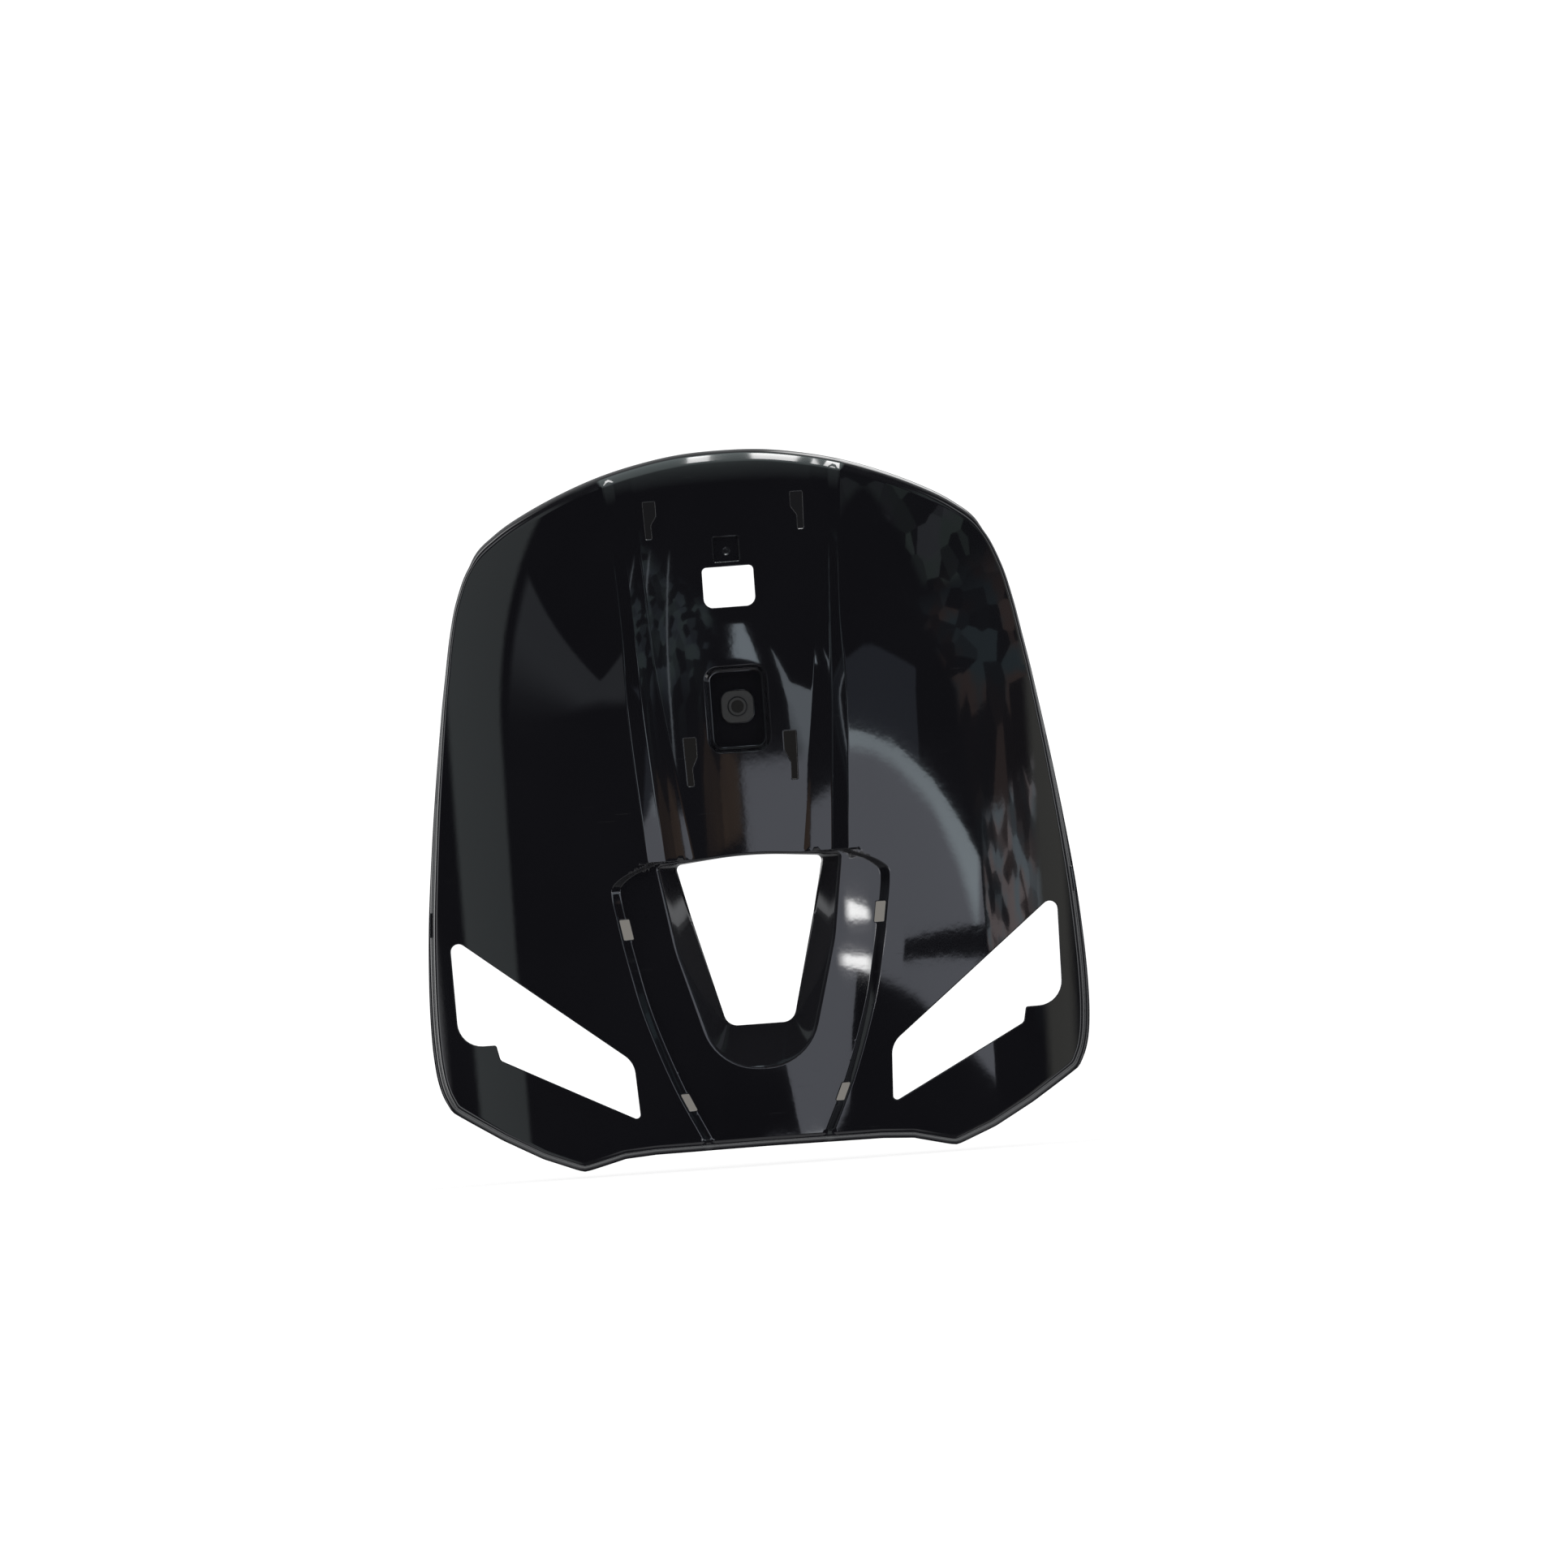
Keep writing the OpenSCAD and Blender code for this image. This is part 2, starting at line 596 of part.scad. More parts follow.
// A rib that follows the skin's back along a line in X and Z
module rib(line) {
    n = len(line);
    sides = [for (i = [0:n - 1])
        let (v = line[min(i + 1, n - 1)] - line[max(i - 1, 0)]) rib_t / 2 * [-v[1], v[0]] / norm(v)];
    left = [for (i = [0:n - 1]) line[i] + sides[i]];
    right = [for (i = [0:n - 1]) line[i] - sides[i]];
    low = wall / 2;
    high = wall + rib_h;
    points = concat(on_skin(right, low), on_skin(right, high), on_skin(left, high), on_skin(left, low));
    polyhedron(points, concat(
        [for (k = [0:3], i = [0:n - 2]) let (a = k * n + i, b = ((k + 1) % 4) * n + i)
            each [[a, a + 1, b + 1], [a, b + 1, b]]],
        [[0, n, 2 * n], [0, 2 * n, 3 * n], [n - 1, 3 * n - 1, 2 * n - 1], [n - 1, 4 * n - 1, 3 * n - 1]]
    ));
}
rib_steps = 9;
rib_low_share = 0.46;
rib_top_share = 0.95;
cross_rib_shares = [0.565, 0.73, 0.9];
// Half width at which the upright ribs stand, between the floor's edge and the crease
rib_x_share = 0.7;
function rib_x(z) = mix(floor_x(z), crease_x(z), rib_x_share);
upright_line = [for (i = [0:rib_steps])
    let (z = z_at(mix(rib_low_share, rib_top_share, i / rib_steps))) [rib_x(z), z]];
function cross_line(z) = [for (i = [-3:3]) [i / 3 * rib_x(z), z]];

// A snap tongue on the rim, with its catch window
tongue_z_shares = [0.36, 0.55, 0.73];
tongue_sink = 6;
tongue_window_share = 0.5;
// Gap between the rim's outside and a tongue's
tongue_inset = 0.84;
// Share of the height over which the flank's lean is taken
lean_share = 0.02;
module edge_tongue(share) {
    z = z_at(share);
    x = half_w * follow(side_shares, share);
    rise = half_w * (follow(side_shares, share + lean_share) - follow(side_shares, share - lean_share));
    y = base_y(x, z) + rim_depth;
    translate([x + rim_round + flare_at(z) - tongue_t - tongue_inset, y - tongue_sink, z])
        rotate([0, atan(rise / (2 * lean_share * edge_h)), 0])
            difference() {
                translate([0, 0, -tongue_w / 2])
                    cube([tongue_t, tongue_sink + tongue_l, tongue_w]);
                translate([-over, tongue_sink + tongue_l / 4, -tongue_w * tongue_window_share / 2])
                    cube([tongue_t + 2 * over, tongue_l / 2, tongue_w * tongue_window_share]);
            }
}

module backing() {
    collar(window_outline, window_collar_d);
    for (s = cross_rib_shares)
        rib(cross_line(z_at(s)));
    both_sides() {
        collar(lamp_outline, lamp_collar_d);
        rib(upright_line);
        for (b = boss_shares)
            screw_boss(half_w * b[0], z_at(b[1]));
        for (s = tongue_z_shares)
            edge_tongue(s);
    }
}

// The moulding with its openings, brought to its exact width over the rim
module moulding() {
    resize([panel_w, 0, 0])
        difference() {
            union() {
                skin();
                funnel_body();
                pocket_tub();
                backing();
            }
            openings();
        }
}

module front_fairing_panel() {
    color("#101014")
        difference() {
            union() {
                moulding();
                screw_pad();
            }
            screw_bore();
            both_sides()
                for (b = boss_shares)
                    pilot_hole(half_w * b[0], z_at(b[1]));
        }
}

front_fairing_panel();
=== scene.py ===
"""Gloss black front fairing panel of a scooter, in a plain pale studio."""
import math

import bpy
import numpy as np
from mathutils import Matrix, Vector
from mathutils.geometry import delaunay_2d_cdt


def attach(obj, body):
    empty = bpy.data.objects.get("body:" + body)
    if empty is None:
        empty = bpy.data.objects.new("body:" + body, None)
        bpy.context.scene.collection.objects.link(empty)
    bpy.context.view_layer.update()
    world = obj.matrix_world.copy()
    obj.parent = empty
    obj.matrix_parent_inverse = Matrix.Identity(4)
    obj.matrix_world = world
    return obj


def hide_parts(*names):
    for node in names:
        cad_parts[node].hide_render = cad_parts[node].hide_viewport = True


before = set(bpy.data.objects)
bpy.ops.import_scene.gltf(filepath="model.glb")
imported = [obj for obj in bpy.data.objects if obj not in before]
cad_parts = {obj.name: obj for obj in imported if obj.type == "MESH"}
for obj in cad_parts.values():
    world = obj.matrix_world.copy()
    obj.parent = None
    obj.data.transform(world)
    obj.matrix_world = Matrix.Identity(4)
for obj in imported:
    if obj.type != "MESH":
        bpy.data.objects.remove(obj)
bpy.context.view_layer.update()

# Sizes of the moulding in millimetres
PANEL_W, TOP_RISE, CHIN_DROP = 424, 165, 291
SIDE_FALL, TOP_FALL, CHIN_FALL = 112, 58, 26
SIDE_POWER, END_POWER = 2.5, 2.1
WALL, RIM_ROUND, TOP_ROLL, RIM_DEPTH, RIM_FLARE = 2.8, 3, 5, 17, 3.5
CHANNEL_TOP_D, SEAT_D, CREST_RISE, CREST_REACH, STEP_W = 2.5, 6, 1.6, 16, 5.4
POCKET_W, POCKET_H, POCKET_R, POCKET_D, POCKET_Z = 40, 55, 9, 10, -1.5
PAD_W, PAD_R, PAD_H, RING_R, RING_H, SCREW_R = 20.5, 6.5, 2.4, 6, 0.8, 4
WINDOW_W, WINDOW_H, WINDOW_Z, WINDOW_R = 33, 26, 77, 3
DENT_W, DENT_H, DENT_D, DENT_GAP, DENT_R = 16.8, 16.5, 1.6, 3, 1.3
DIMPLE_R, DIMPLE_DROP, POCKET_DRAFT = 2.4, 1.4, 2.0
SLOT_H, SLOT_W, STEM_W, UPPER_SLOT_H = 31, 8, 3.9, 24
CLIP_W, CLIP_H, LOW_CLIP_W, LOW_CLIP_H, CLIP_GAP = 6.2, 13, 5.2, 11, 1.4
FUNNEL_D = 30
BORDER_STEP, FACE_STEP, BACK_STEP = 2.0, 2.8, 4.5
COLLAR_LEDGE, COLLAR_T, LAMP_COLLAR_D, WINDOW_COLLAR_D = 1.2, 2, 9, 5
BOSS_R, PILOT_R, PILOT_D, BOSS_H = 5, 1.9, 12, 16
RIB_T, RIB_H = 2, 8
TONGUE_L, TONGUE_W, TONGUE_T, TONGUE_SINK, TONGUE_SET = 9, 16, 2.2, 6, 0.84
EDGE_R, BACK_EDGE_R, SLOT_R, CLIP_R, FUNNEL_R, POCKET_EDGE_R = 0.7, 0.4, 0.7, 0.6, 1.8, 0.8
MM = 0.001

HALF_W = PANEL_W / 2 - RIM_ROUND
EDGE_TOP = TOP_RISE - RIM_ROUND
EDGE_LOW = RIM_ROUND - CHIN_DROP
EDGE_H = EDGE_TOP - EDGE_LOW
FLOOR_BACK_Y = (WALL + PAD_H + RING_H) / 2
FLOOR_Y = FLOOR_BACK_Y - WALL
CHANNEL_Y = FLOOR_Y - POCKET_D

# Curves of the face, by share of its half width and of its height
SIDE = [(0.1011, 0.9444), (0.122, 0.9648), (0.15, 0.9775), (0.2, 0.9841), (0.276, 0.9816),
        (0.375, 0.9682), (0.522, 0.9339), (0.66, 0.8931), (0.71, 0.8752), (0.765, 0.8542),
        (0.815, 0.827), (0.864, 0.778)]
TOP = [(0, 0.9889), (0.12, 0.9868), (0.236, 0.9787), (0.354, 0.9657), (0.472, 0.9469),
       (0.6, 0.9207), (0.7, 0.8945), (0.778, 0.864)]
CHIN = [(0, 0.0263), (0.35, 0.0253), (0.448, 0.0223), (0.51, 0.015), (0.571, 0.008),
        (0.684, 0.0288), (0.802, 0.0587), (0.882, 0.0823), (0.9444, 0.1011)]
SEAT_TOP = 0.426
SEAT = [(0, 0.2), (0.196, 0.277), (0.455, 0.354), (0.66, 0.394), (0.79, 0.414), (0.9, 0.427),
        (0.93, 0.419), (0.963, 0.38), (0.99, 0.322), (1, 0.309)]
CREST = [(0, 0.309), (0.37, 0.338), (0.57, 0.336), (0.8, 0.35), (1, 0.372)]
CREASE = [(0, 0.258), (0.44, 0.294), (0.75, 0.312), (1, 0.332)]
FLOOR = [(0, 0.166), (0.45, 0.24), (0.75, 0.262), (1, 0.278)]
CREASE_DEPTH = 0.62
LAMP = [(0.388, 0.061, 0.012), (0.397, 0.145, 0.075), (0.936, 0.343, 0.024),
        (0.93, 0.183, 0.075), (0.816, 0.183, 0.008), (0.806, 0.161, 0.018)]
MOUTH = [(-0.137, 0.126, 0.165), (-0.242, 0.302, 0.5), (-0.281, 0.42, 0.01), (0, 0.43, 1.2),
         (0.281, 0.42, 0.01), (0.242, 0.302, 0.5), (0.137, 0.126, 0.165)]
HOLE = [(-0.1, 0.188, 0.04), (-0.186, 0.344, 0.5), (-0.224, 0.42, 0.016), (0, 0.43, 1.2),
        (0.224, 0.42, 0.016), (0.186, 0.344, 0.5), (0.1, 0.188, 0.04)]
BOSSES = [(0.5, 0.216), (0.71, 0.302), (0.68, 0.088), (0.53, 0.842)]
TONGUES = [0.36, 0.55, 0.73]
SLOT_X, SLOT_TOP, UPPER_SLOT_X, UPPER_SLOT_TOP = 0.173, 0.6, 0.246, 0.94
CLIP_Z, LOW_CLIP_Z = 0.334, 0.082
LONG_RIB_LOW, LONG_RIB_TOP = 0.46, 0.95
CROSS_RIBS = [(0.565, SLOT_X), (0.73, None), (0.9, UPPER_SLOT_X)]
# Shares of a slot's own height: its lean, where its taper ends and where its head does
SLOT_LEAN, SLOT_TAPER, SLOT_HEAD = 0.03, 0.63, 0.4

# The view, the floor and the screens' middle, in metres and degrees
CAMERA_FAR, CAMERA_X, CAMERA_Z, VIEW_W, ROLL = 30.0, 0.0261, -0.0518, 1.005, 4.22
FLOOR_LEVEL, SCREENS_Z = -0.2945, -0.06


def mix(a, b, t):
    return a + (b - a) * t


def ease(t):
    """0 below 0, 1 above 1 and smooth in between."""
    c = np.clip(t, 0, 1)
    return c * c * (3 - 2 * c)


def soft(u, r):
    """A ramp that is 0 below zero and u above it, rounded over r to either side."""
    return np.where(u < -r, 0, np.where(u > r, u, (np.maximum(u, -r) + r) ** 2 / (4 * r)))


def follow(table, v):
    """A smooth curve through a table of pairs, for a number or an array."""
    keys = np.array([k for k, _ in table], float)
    vals = np.array([w for _, w in table], float)
    n = len(keys)
    before, after = np.maximum(np.arange(n) - 1, 0), np.minimum(np.arange(n) + 1, n - 1)
    lean = (vals[after] - vals[before]) / (keys[after] - keys[before])
    c = np.clip(v, keys[0], keys[-1])
    i = np.clip(np.searchsorted(keys, c, side="right") - 1, 0, n - 2)
    w = keys[i + 1] - keys[i]
    u = (c - keys[i]) / w
    q, k = u * u, u * u * u
    return (vals[i] * (2 * k - 3 * q + 1) + vals[i + 1] * (3 * q - 2 * k)
            + lean[i] * w * (k - 2 * q + u) + lean[i + 1] * w * (k - q))


def z_at(share):
    """Height in millimetres of a share of the border's height."""
    return EDGE_LOW + EDGE_H * share


SEAT_Z = z_at(SEAT_TOP)
CHIN_MID_Z = z_at(CHIN[0][1])


def rise(z):
    """Share of the way from the seat up to the top edge."""
    return np.clip((z - SEAT_Z) / (EDGE_TOP - SEAT_Z), 0, 1)


def seat_x(z):
    """Half width of the garnish seat."""
    return HALF_W * follow(SEAT, (z - CHIN_MID_Z) / (SEAT_Z - CHIN_MID_Z))


def channel_depth(z):
    return mix(SEAT_D, CHANNEL_TOP_D, ease(rise(z)))


FACE_Y = CHANNEL_Y - float(channel_depth(0.0))


def base_y(x, z):
    """The face before any detail: crowned across, falling back to the top and to the chin."""
    up, down = np.maximum(z, 0) / EDGE_TOP, np.maximum(-z, 0) / -EDGE_LOW
    return (FACE_Y + SIDE_FALL * (np.abs(x) / HALF_W) ** SIDE_POWER
            + TOP_FALL * up ** END_POWER + CHIN_FALL * down ** END_POWER)


CREASE_SOFT, STEP_SOFT = 1.0, 0.8


def channel_relief(ax, z):
    """The crest, the crease and the floor of the centre channel, set into the crowned face."""
    c, m, f = (HALF_W * follow(t, rise(z)) for t in (CREST, CREASE, FLOOR))
    d = channel_depth(z)
    s1 = (d * CREASE_DEPTH + CREST_RISE) / (c - m)
    s2 = d * (1 - CREASE_DEPTH) / (m - f)
    out = np.clip(1 - np.maximum(ax - c, 0) / CREST_REACH, 0, 1) ** 2
    return (-CREST_RISE * out + s1 * soft(c - ax, CREASE_SOFT)
            + (s2 - s1) * soft(m - ax, CREASE_SOFT) - s2 * soft(f - ax, CREASE_SOFT))


def seat_relief(ax, z):
    """The garnish seat, stepped in from the face."""
    u = seat_x(z) - ax
    return SEAT_D * (soft(u, STEP_SOFT) - soft(u - STEP_W, STEP_SOFT)) / STEP_W


def face(x, z):
    """Y of the face at x and z."""
    ax = np.abs(x)
    low = ease((SEAT_Z - z) / (2 * STEP_SOFT) + 0.5)
    return base_y(x, z) + mix(channel_relief(ax, z), seat_relief(ax, z), low)


def slopes(height, x, z):
    """The slopes of a surface across and up, over a small step h."""
    h = 0.02
    return ((height(x + h, z) - height(x - h, z)) / (2 * h),
            (height(x, z + h) - height(x, z - h)) / (2 * h))


def back(x, z):
    """Y of the moulding's back, a wall's thickness behind the face."""
    gx, gz = slopes(base_y, x, z)
    return face(x, z) + WALL * np.sqrt(1 + gx * gx + gz * gz)


def normals_of(height, x, z, side):
    """Unit normals of a surface; side is 1 towards the front and -1 towards the back."""
    gx, gz = slopes(height, x, z)
    n = np.stack([gx, -np.ones_like(gx), gz], 1) * side
    return n / np.linalg.norm(n, axis=1)[:, None]


def plan(p):
    """Points seen from the front: their X and Z."""
    return p[:, (0, 2)]


def lift(q, y):
    """Points in X and Z, brought to height y, which is a number, an array or a surface."""
    y = y(q[:, 0], q[:, 1]) if callable(y) else y
    return np.column_stack([q[:, 0], np.broadcast_to(y, len(q)), q[:, 1]])


def rounded(corners, n=8):
    """An outline with rounded corners: each corner is x, z and a radius."""
    out = []
    pts = [np.array(c[:2], float) for c in corners]
    for i, (q, c) in enumerate(zip(pts, corners)):
        a, b = pts[i - 1] - q, pts[(i + 1) % len(pts)] - q
        a, b = a / np.linalg.norm(a), b / np.linalg.norm(b)
        half = math.acos(np.clip(a @ b, -1, 1)) / 2
        reach = c[2] / math.tan(half)
        mid = q + (a + b) / np.linalg.norm(a + b) * c[2] / math.sin(half)
        v, w = q + a * reach - mid, q + b * reach - mid
        turn = math.atan2(v[0] * w[1] - v[1] * w[0], v @ w)
        for k in range(n + 1):
            t = turn * k / n
            out.append(mid + [v[0] * math.cos(t) - v[1] * math.sin(t),
                              v[0] * math.sin(t) + v[1] * math.cos(t)])
    return np.array(out)


def ccw(p):
    """The outline, counter-clockwise."""
    x, z = p[:, 0], p[:, 1]
    return p if (x * np.roll(z, -1) - np.roll(x, -1) * z).sum() > 0 else p[::-1]


def split(p, step, like=None):
    """The same outline with its long edges cut into steps; like gives the edges' lengths."""
    like = p if like is None else like
    lengths = np.linalg.norm(np.roll(like, -1, 0) - like, axis=1)
    counts = np.maximum(1, np.ceil(lengths / step)).astype(int)
    return np.concatenate([mix(a, b, np.arange(n)[:, None] / n)
                           for a, b, n in zip(p, np.roll(p, -1, 0), counts)])


def outwards(p, gap=1):
    """Unit normals of a counter-clockwise outline, pointing out of it."""
    v = np.roll(p, -gap, 0) - np.roll(p, gap, 0)
    v = v / np.maximum(np.linalg.norm(v, axis=1), 1e-9)[:, None]
    return np.column_stack([v[:, 1], -v[:, 0]])


def grown(p, d):
    """The outline, moved out by d."""
    return p + outwards(p) * d


def inside(q, loop):
    """Whether each point of q lies in the outline."""
    hit = np.zeros(len(q), bool)
    for a, b in zip(loop, np.roll(loop, -1, 0)):
        if a[1] != b[1]:
            k = (a[1] > q[:, 1]) != (b[1] > q[:, 1])
            hit ^= k & (q[:, 0] < (b[0] - a[0]) * (q[:, 1] - a[1]) / (b[1] - a[1]) + a[0])
    return hit


def apart(q, loops, gap):
    """Whether each point of q stays clear of the outlines' points."""
    pts = np.concatenate(loops)
    free = np.ones(len(q), bool)
    for k in range(0, len(q), 2000):
        d = q[k:k + 2000, None, :] - pts[None, :, :]
        free[k:k + 2000] = (np.einsum("ijk,ijk->ij", d, d) > gap * gap).all(1)
    return free


def bend_rings(a, b, c, n=4):
    """Rings of a rounding that leaves a towards the corner b and arrives at c."""
    return [mix(mix(a, b, k / n), mix(b, c, k / n), k / n) for k in range(n + 1)]


class Shell:
    """A closed shell as it grows: points, their normals where they are known, and triangles."""

    def __init__(self):
        self.points, self.normals, self.faces, self.count = [], [], [], 0

    def add(self, points, normals=None):
        ids = np.arange(self.count, self.count + len(points))
        self.points.append(np.asarray(points, float))
        self.normals.append(np.zeros((len(points), 3)) if normals is None else normals)
        self.count += len(points)
        return ids

    def at(self, ids):
        return np.concatenate(self.points)[ids]

    def on_surface(self, surface, q, side):
        """Adds a loop that lies in a surface and has its normals."""
        return self.add(lift(q, surface), normals_of(surface, q[:, 0], q[:, 1], side))

    def on_floor(self, y, q, side=1):
        """Adds a loop that lies in a flat floor."""
        return self.add(lift(q, y), np.tile([0.0, -float(side), 0.0], (len(q), 1)))

    def strip(self, a, b):
        c, d = np.roll(a, -1), np.roll(b, -1)
        self.faces += [np.stack([a, c, d], 1), np.stack([a, d, b], 1)]

    def strips(self, first, rings, last, turned=False):
        """Joins loop first to loop last through rings of points."""
        loops = [first] + [self.add(r) for r in rings] + ([last] if last is not None else [])
        for a, b in zip(loops, loops[1:]):
            self.strip(b, a) if turned else self.strip(a, b)
        return loops[-1]

    def cap(self, loop, turned=False):
        p = self.at(loop)
        mid = self.add(p.mean(0)[None])
        nxt = np.roll(loop, -1)
        tri = np.stack([loop, nxt, np.full(len(loop), mid[0])], 1)
        self.faces.append(tri[:, ::-1] if turned else tri)

    def sheet(self, outer, holes, height, step, extra=(), side=1):
        """Covers the ground between loops with a surface; side is -1 for the back."""
        loops = [outer] + list(holes)
        rings = [plan(self.at(k)) for k in loops]
        low, high = rings[0].min(0), rings[0].max(0)
        rows = np.arange(low[1], high[1], step * 0.866)
        cols = np.arange(low[0], high[0] + step, step)
        grid = np.stack(np.meshgrid(cols, rows), -1)
        grid[1::2, :, 0] -= step / 2
        grid = grid.reshape(-1, 2)
        if len(extra):
            grid = np.concatenate([extra, grid[apart(grid, [extra], step * 0.45)]])
        ok = inside(grid, rings[0])
        for r in rings[1:]:
            ok &= ~inside(grid, r)
        grid = grid[ok]
        grid = grid[apart(grid, rings, step * 0.4)]
        ids = list(np.concatenate(loops)) + list(
            self.add(lift(grid, height), normals_of(height, grid[:, 0], grid[:, 1], side)))
        flat = np.concatenate(rings + [grid])
        edges, start = [], 0
        for r in rings:
            n = len(r)
            edges += [(start + i, start + (i + 1) % n) for i in range(n)]
            start += n
        verts, _, tris, orig, _, _ = delaunay_2d_cdt([Vector(p) for p in flat], edges, [], 5, 1e-6)
        if len(verts) != len(flat):
            raise SystemExit("a sheet's outlines cross")
        ids = np.array(ids)[[o[0] for o in orig]]
        tris = np.array(tris)
        spots = np.array([tuple(v) for v in verts])
        mids = spots[tris].mean(1)
        keep = np.ones(len(tris), bool)
        for r in rings[1:]:
            keep &= ~inside(mids, r)
        tris = tris[keep]
        a, b, c = (spots[tris[:, k]] for k in range(3))
        turn = (b - a)[:, 0] * (c - a)[:, 1] - (b - a)[:, 1] * (c - a)[:, 0]
        tris[turn < 0] = tris[turn < 0][:, ::-1]
        tris = ids[tris]
        self.faces.append(tris if side > 0 else tris[:, ::-1])


def placed(table):
    """Corners in millimetres from a table of shares."""
    return [(HALF_W * x, z_at(z), HALF_W * r) for x, z, r in table]


def frame_line(w, h, z, r, foot_r):
    """A rectangle with round corners in the middle of the panel, at height z."""
    return ccw(rounded([(-w / 2, z - h / 2, foot_r), (-w / 2, z + h / 2, r),
                        (w / 2, z + h / 2, r), (w / 2, z - h / 2, foot_r)]))


def flag_line(x, z, h):
    """A flag-shaped slot: its upper right corner is at x and z, and it is h high."""
    foot, taper, r = x - h * SLOT_LEAN, x - h * SLOT_LEAN * SLOT_TAPER, SLOT_R
    return ccw(rounded([(foot - STEM_W, z - h, r), (taper - STEM_W, z - h * SLOT_TAPER, 3 * r),
                        (x - SLOT_W, z - h * SLOT_HEAD, 3 * r), (x - SLOT_W, z, r), (x, z, r),
                        (foot, z - h, r)], 4))


def clip_line(z, w, h):
    """A clip slot at the foot of the seat's step, slanted as the step is."""
    at = [(-1, -1), (-1, 1), (0, 1), (0, -1)]
    return ccw(rounded([(float(seat_x(z + b * h / 2)) - CLIP_GAP + a * w, z + b * h / 2, CLIP_R)
                        for a, b in at], 3))


def other(p):
    """The same outline on the other side of the panel."""
    return ccw(p * [-1, 1])


def both_sides(lines):
    """Outlines of the right side, and the same ones on the left."""
    return lines + [other(p) for p in lines]


def circle_line(r, n=64, x=0.0, z=0.0):
    t = np.arange(n) * 2 * math.pi / n
    return np.column_stack([x + r * np.cos(t), z + r * np.sin(t)])


WINDOW_LINE = frame_line(WINDOW_W, WINDOW_H, WINDOW_Z, WINDOW_R, 2 * WINDOW_R)
LAMP_LINE = ccw(rounded(placed(LAMP)))
SLOT_LINE = flag_line(HALF_W * SLOT_X, z_at(SLOT_TOP), SLOT_H)
UPPER_SLOT_LINE = flag_line(HALF_W * UPPER_SLOT_X, z_at(UPPER_SLOT_TOP), UPPER_SLOT_H)
CLIP_LINES = [clip_line(z_at(CLIP_Z), CLIP_W, CLIP_H),
              clip_line(z_at(LOW_CLIP_Z), LOW_CLIP_W, LOW_CLIP_H)]


def border_line(step):
    """The face's border, counter-clockwise from the middle of its foot."""
    xs = np.linspace(0, CHIN[-1][0], 400)
    keys = [k for k, _ in CHIN]
    foot = np.column_stack([HALF_W * xs, z_at(np.interp(xs, keys, [v for _, v in CHIN]))])
    # One smooth curve through the flank's points and the top's, past the middle and cut there
    knots = [(HALF_W * x, z_at(z)) for z, x in SIDE]
    knots += [(HALF_W * x, z_at(z)) for x, z in TOP[-2::-1]]
    knots = np.array(knots + [(-knots[-2][0], knots[-2][1])])
    along = np.concatenate([[0], np.cumsum(np.linalg.norm(np.diff(knots, axis=0), axis=1))])
    t = np.linspace(0, along[-2], 900)[1:]
    curve = np.column_stack([follow(list(zip(along, knots[:, k])), t) for k in (0, 1)])
    half = np.concatenate([foot, curve])
    # The foot's corners are rounded by a running mean
    for _ in range(3):
        half[1:-1] = (half[:-2] + half[1:-1] * 2 + half[2:]) / 4
    far = np.concatenate([[0], np.cumsum(np.linalg.norm(np.diff(half, axis=0), axis=1))])
    n = int(far[-1] / step)
    s = np.linspace(0, far[-1], n + 1)
    half = np.column_stack([np.interp(s, far, half[:, 0]), np.interp(s, far, half[:, 1])])
    return np.concatenate([half, half[-2:0:-1] * [-1, 1]])


def feature_points():
    """Close rows of points along the creases and the seat's step."""
    rows = []
    zs = np.arange(SEAT_Z, EDGE_TOP, 2.2)
    for t, r in ((CREST, CREASE_SOFT), (CREASE, CREASE_SOFT), (FLOOR, CREASE_SOFT)):
        x = HALF_W * follow(t, rise(zs))
        rows += [np.column_stack([x + d, zs]) for d in (-r, -r / 2, 0, r / 2, r)]
    zs = np.concatenate([np.arange(CHIN_MID_Z - 2, SEAT_Z - 14, 2.0),
                         np.arange(SEAT_Z - 14, SEAT_Z, 0.7)])
    r = STEP_SOFT
    for at in (-r, 0, r, STEP_W - r, STEP_W, STEP_W + r):
        rows.append(np.column_stack([seat_x(zs) - at, zs]))
    xs = np.arange(0, 70, 1.2)
    rows += [np.column_stack([xs, np.full_like(xs, SEAT_Z + d * r)])
             for d in (-1.0, -0.5, 0, 0.5, 1.0)]
    half = np.concatenate(rows)
    both = np.concatenate([half, half[half[:, 0] > 0.5] * [-1, 1]])
    _, first = np.unique(np.round(both / 0.35), axis=0, return_index=True)
    return both[np.sort(first)]


def flare_at(z):
    """How far the flange flares outwards at height z."""
    top, low = z_at(SIDE[-1][0]), z_at(SIDE[0][0])
    return RIM_FLARE * ease((top - z) / (top - low))


def roll_at(nz):
    """The rim's rounding, larger where the border faces up."""
    return RIM_ROUND + TOP_ROLL * ease((nz - 0.55) / 0.45)


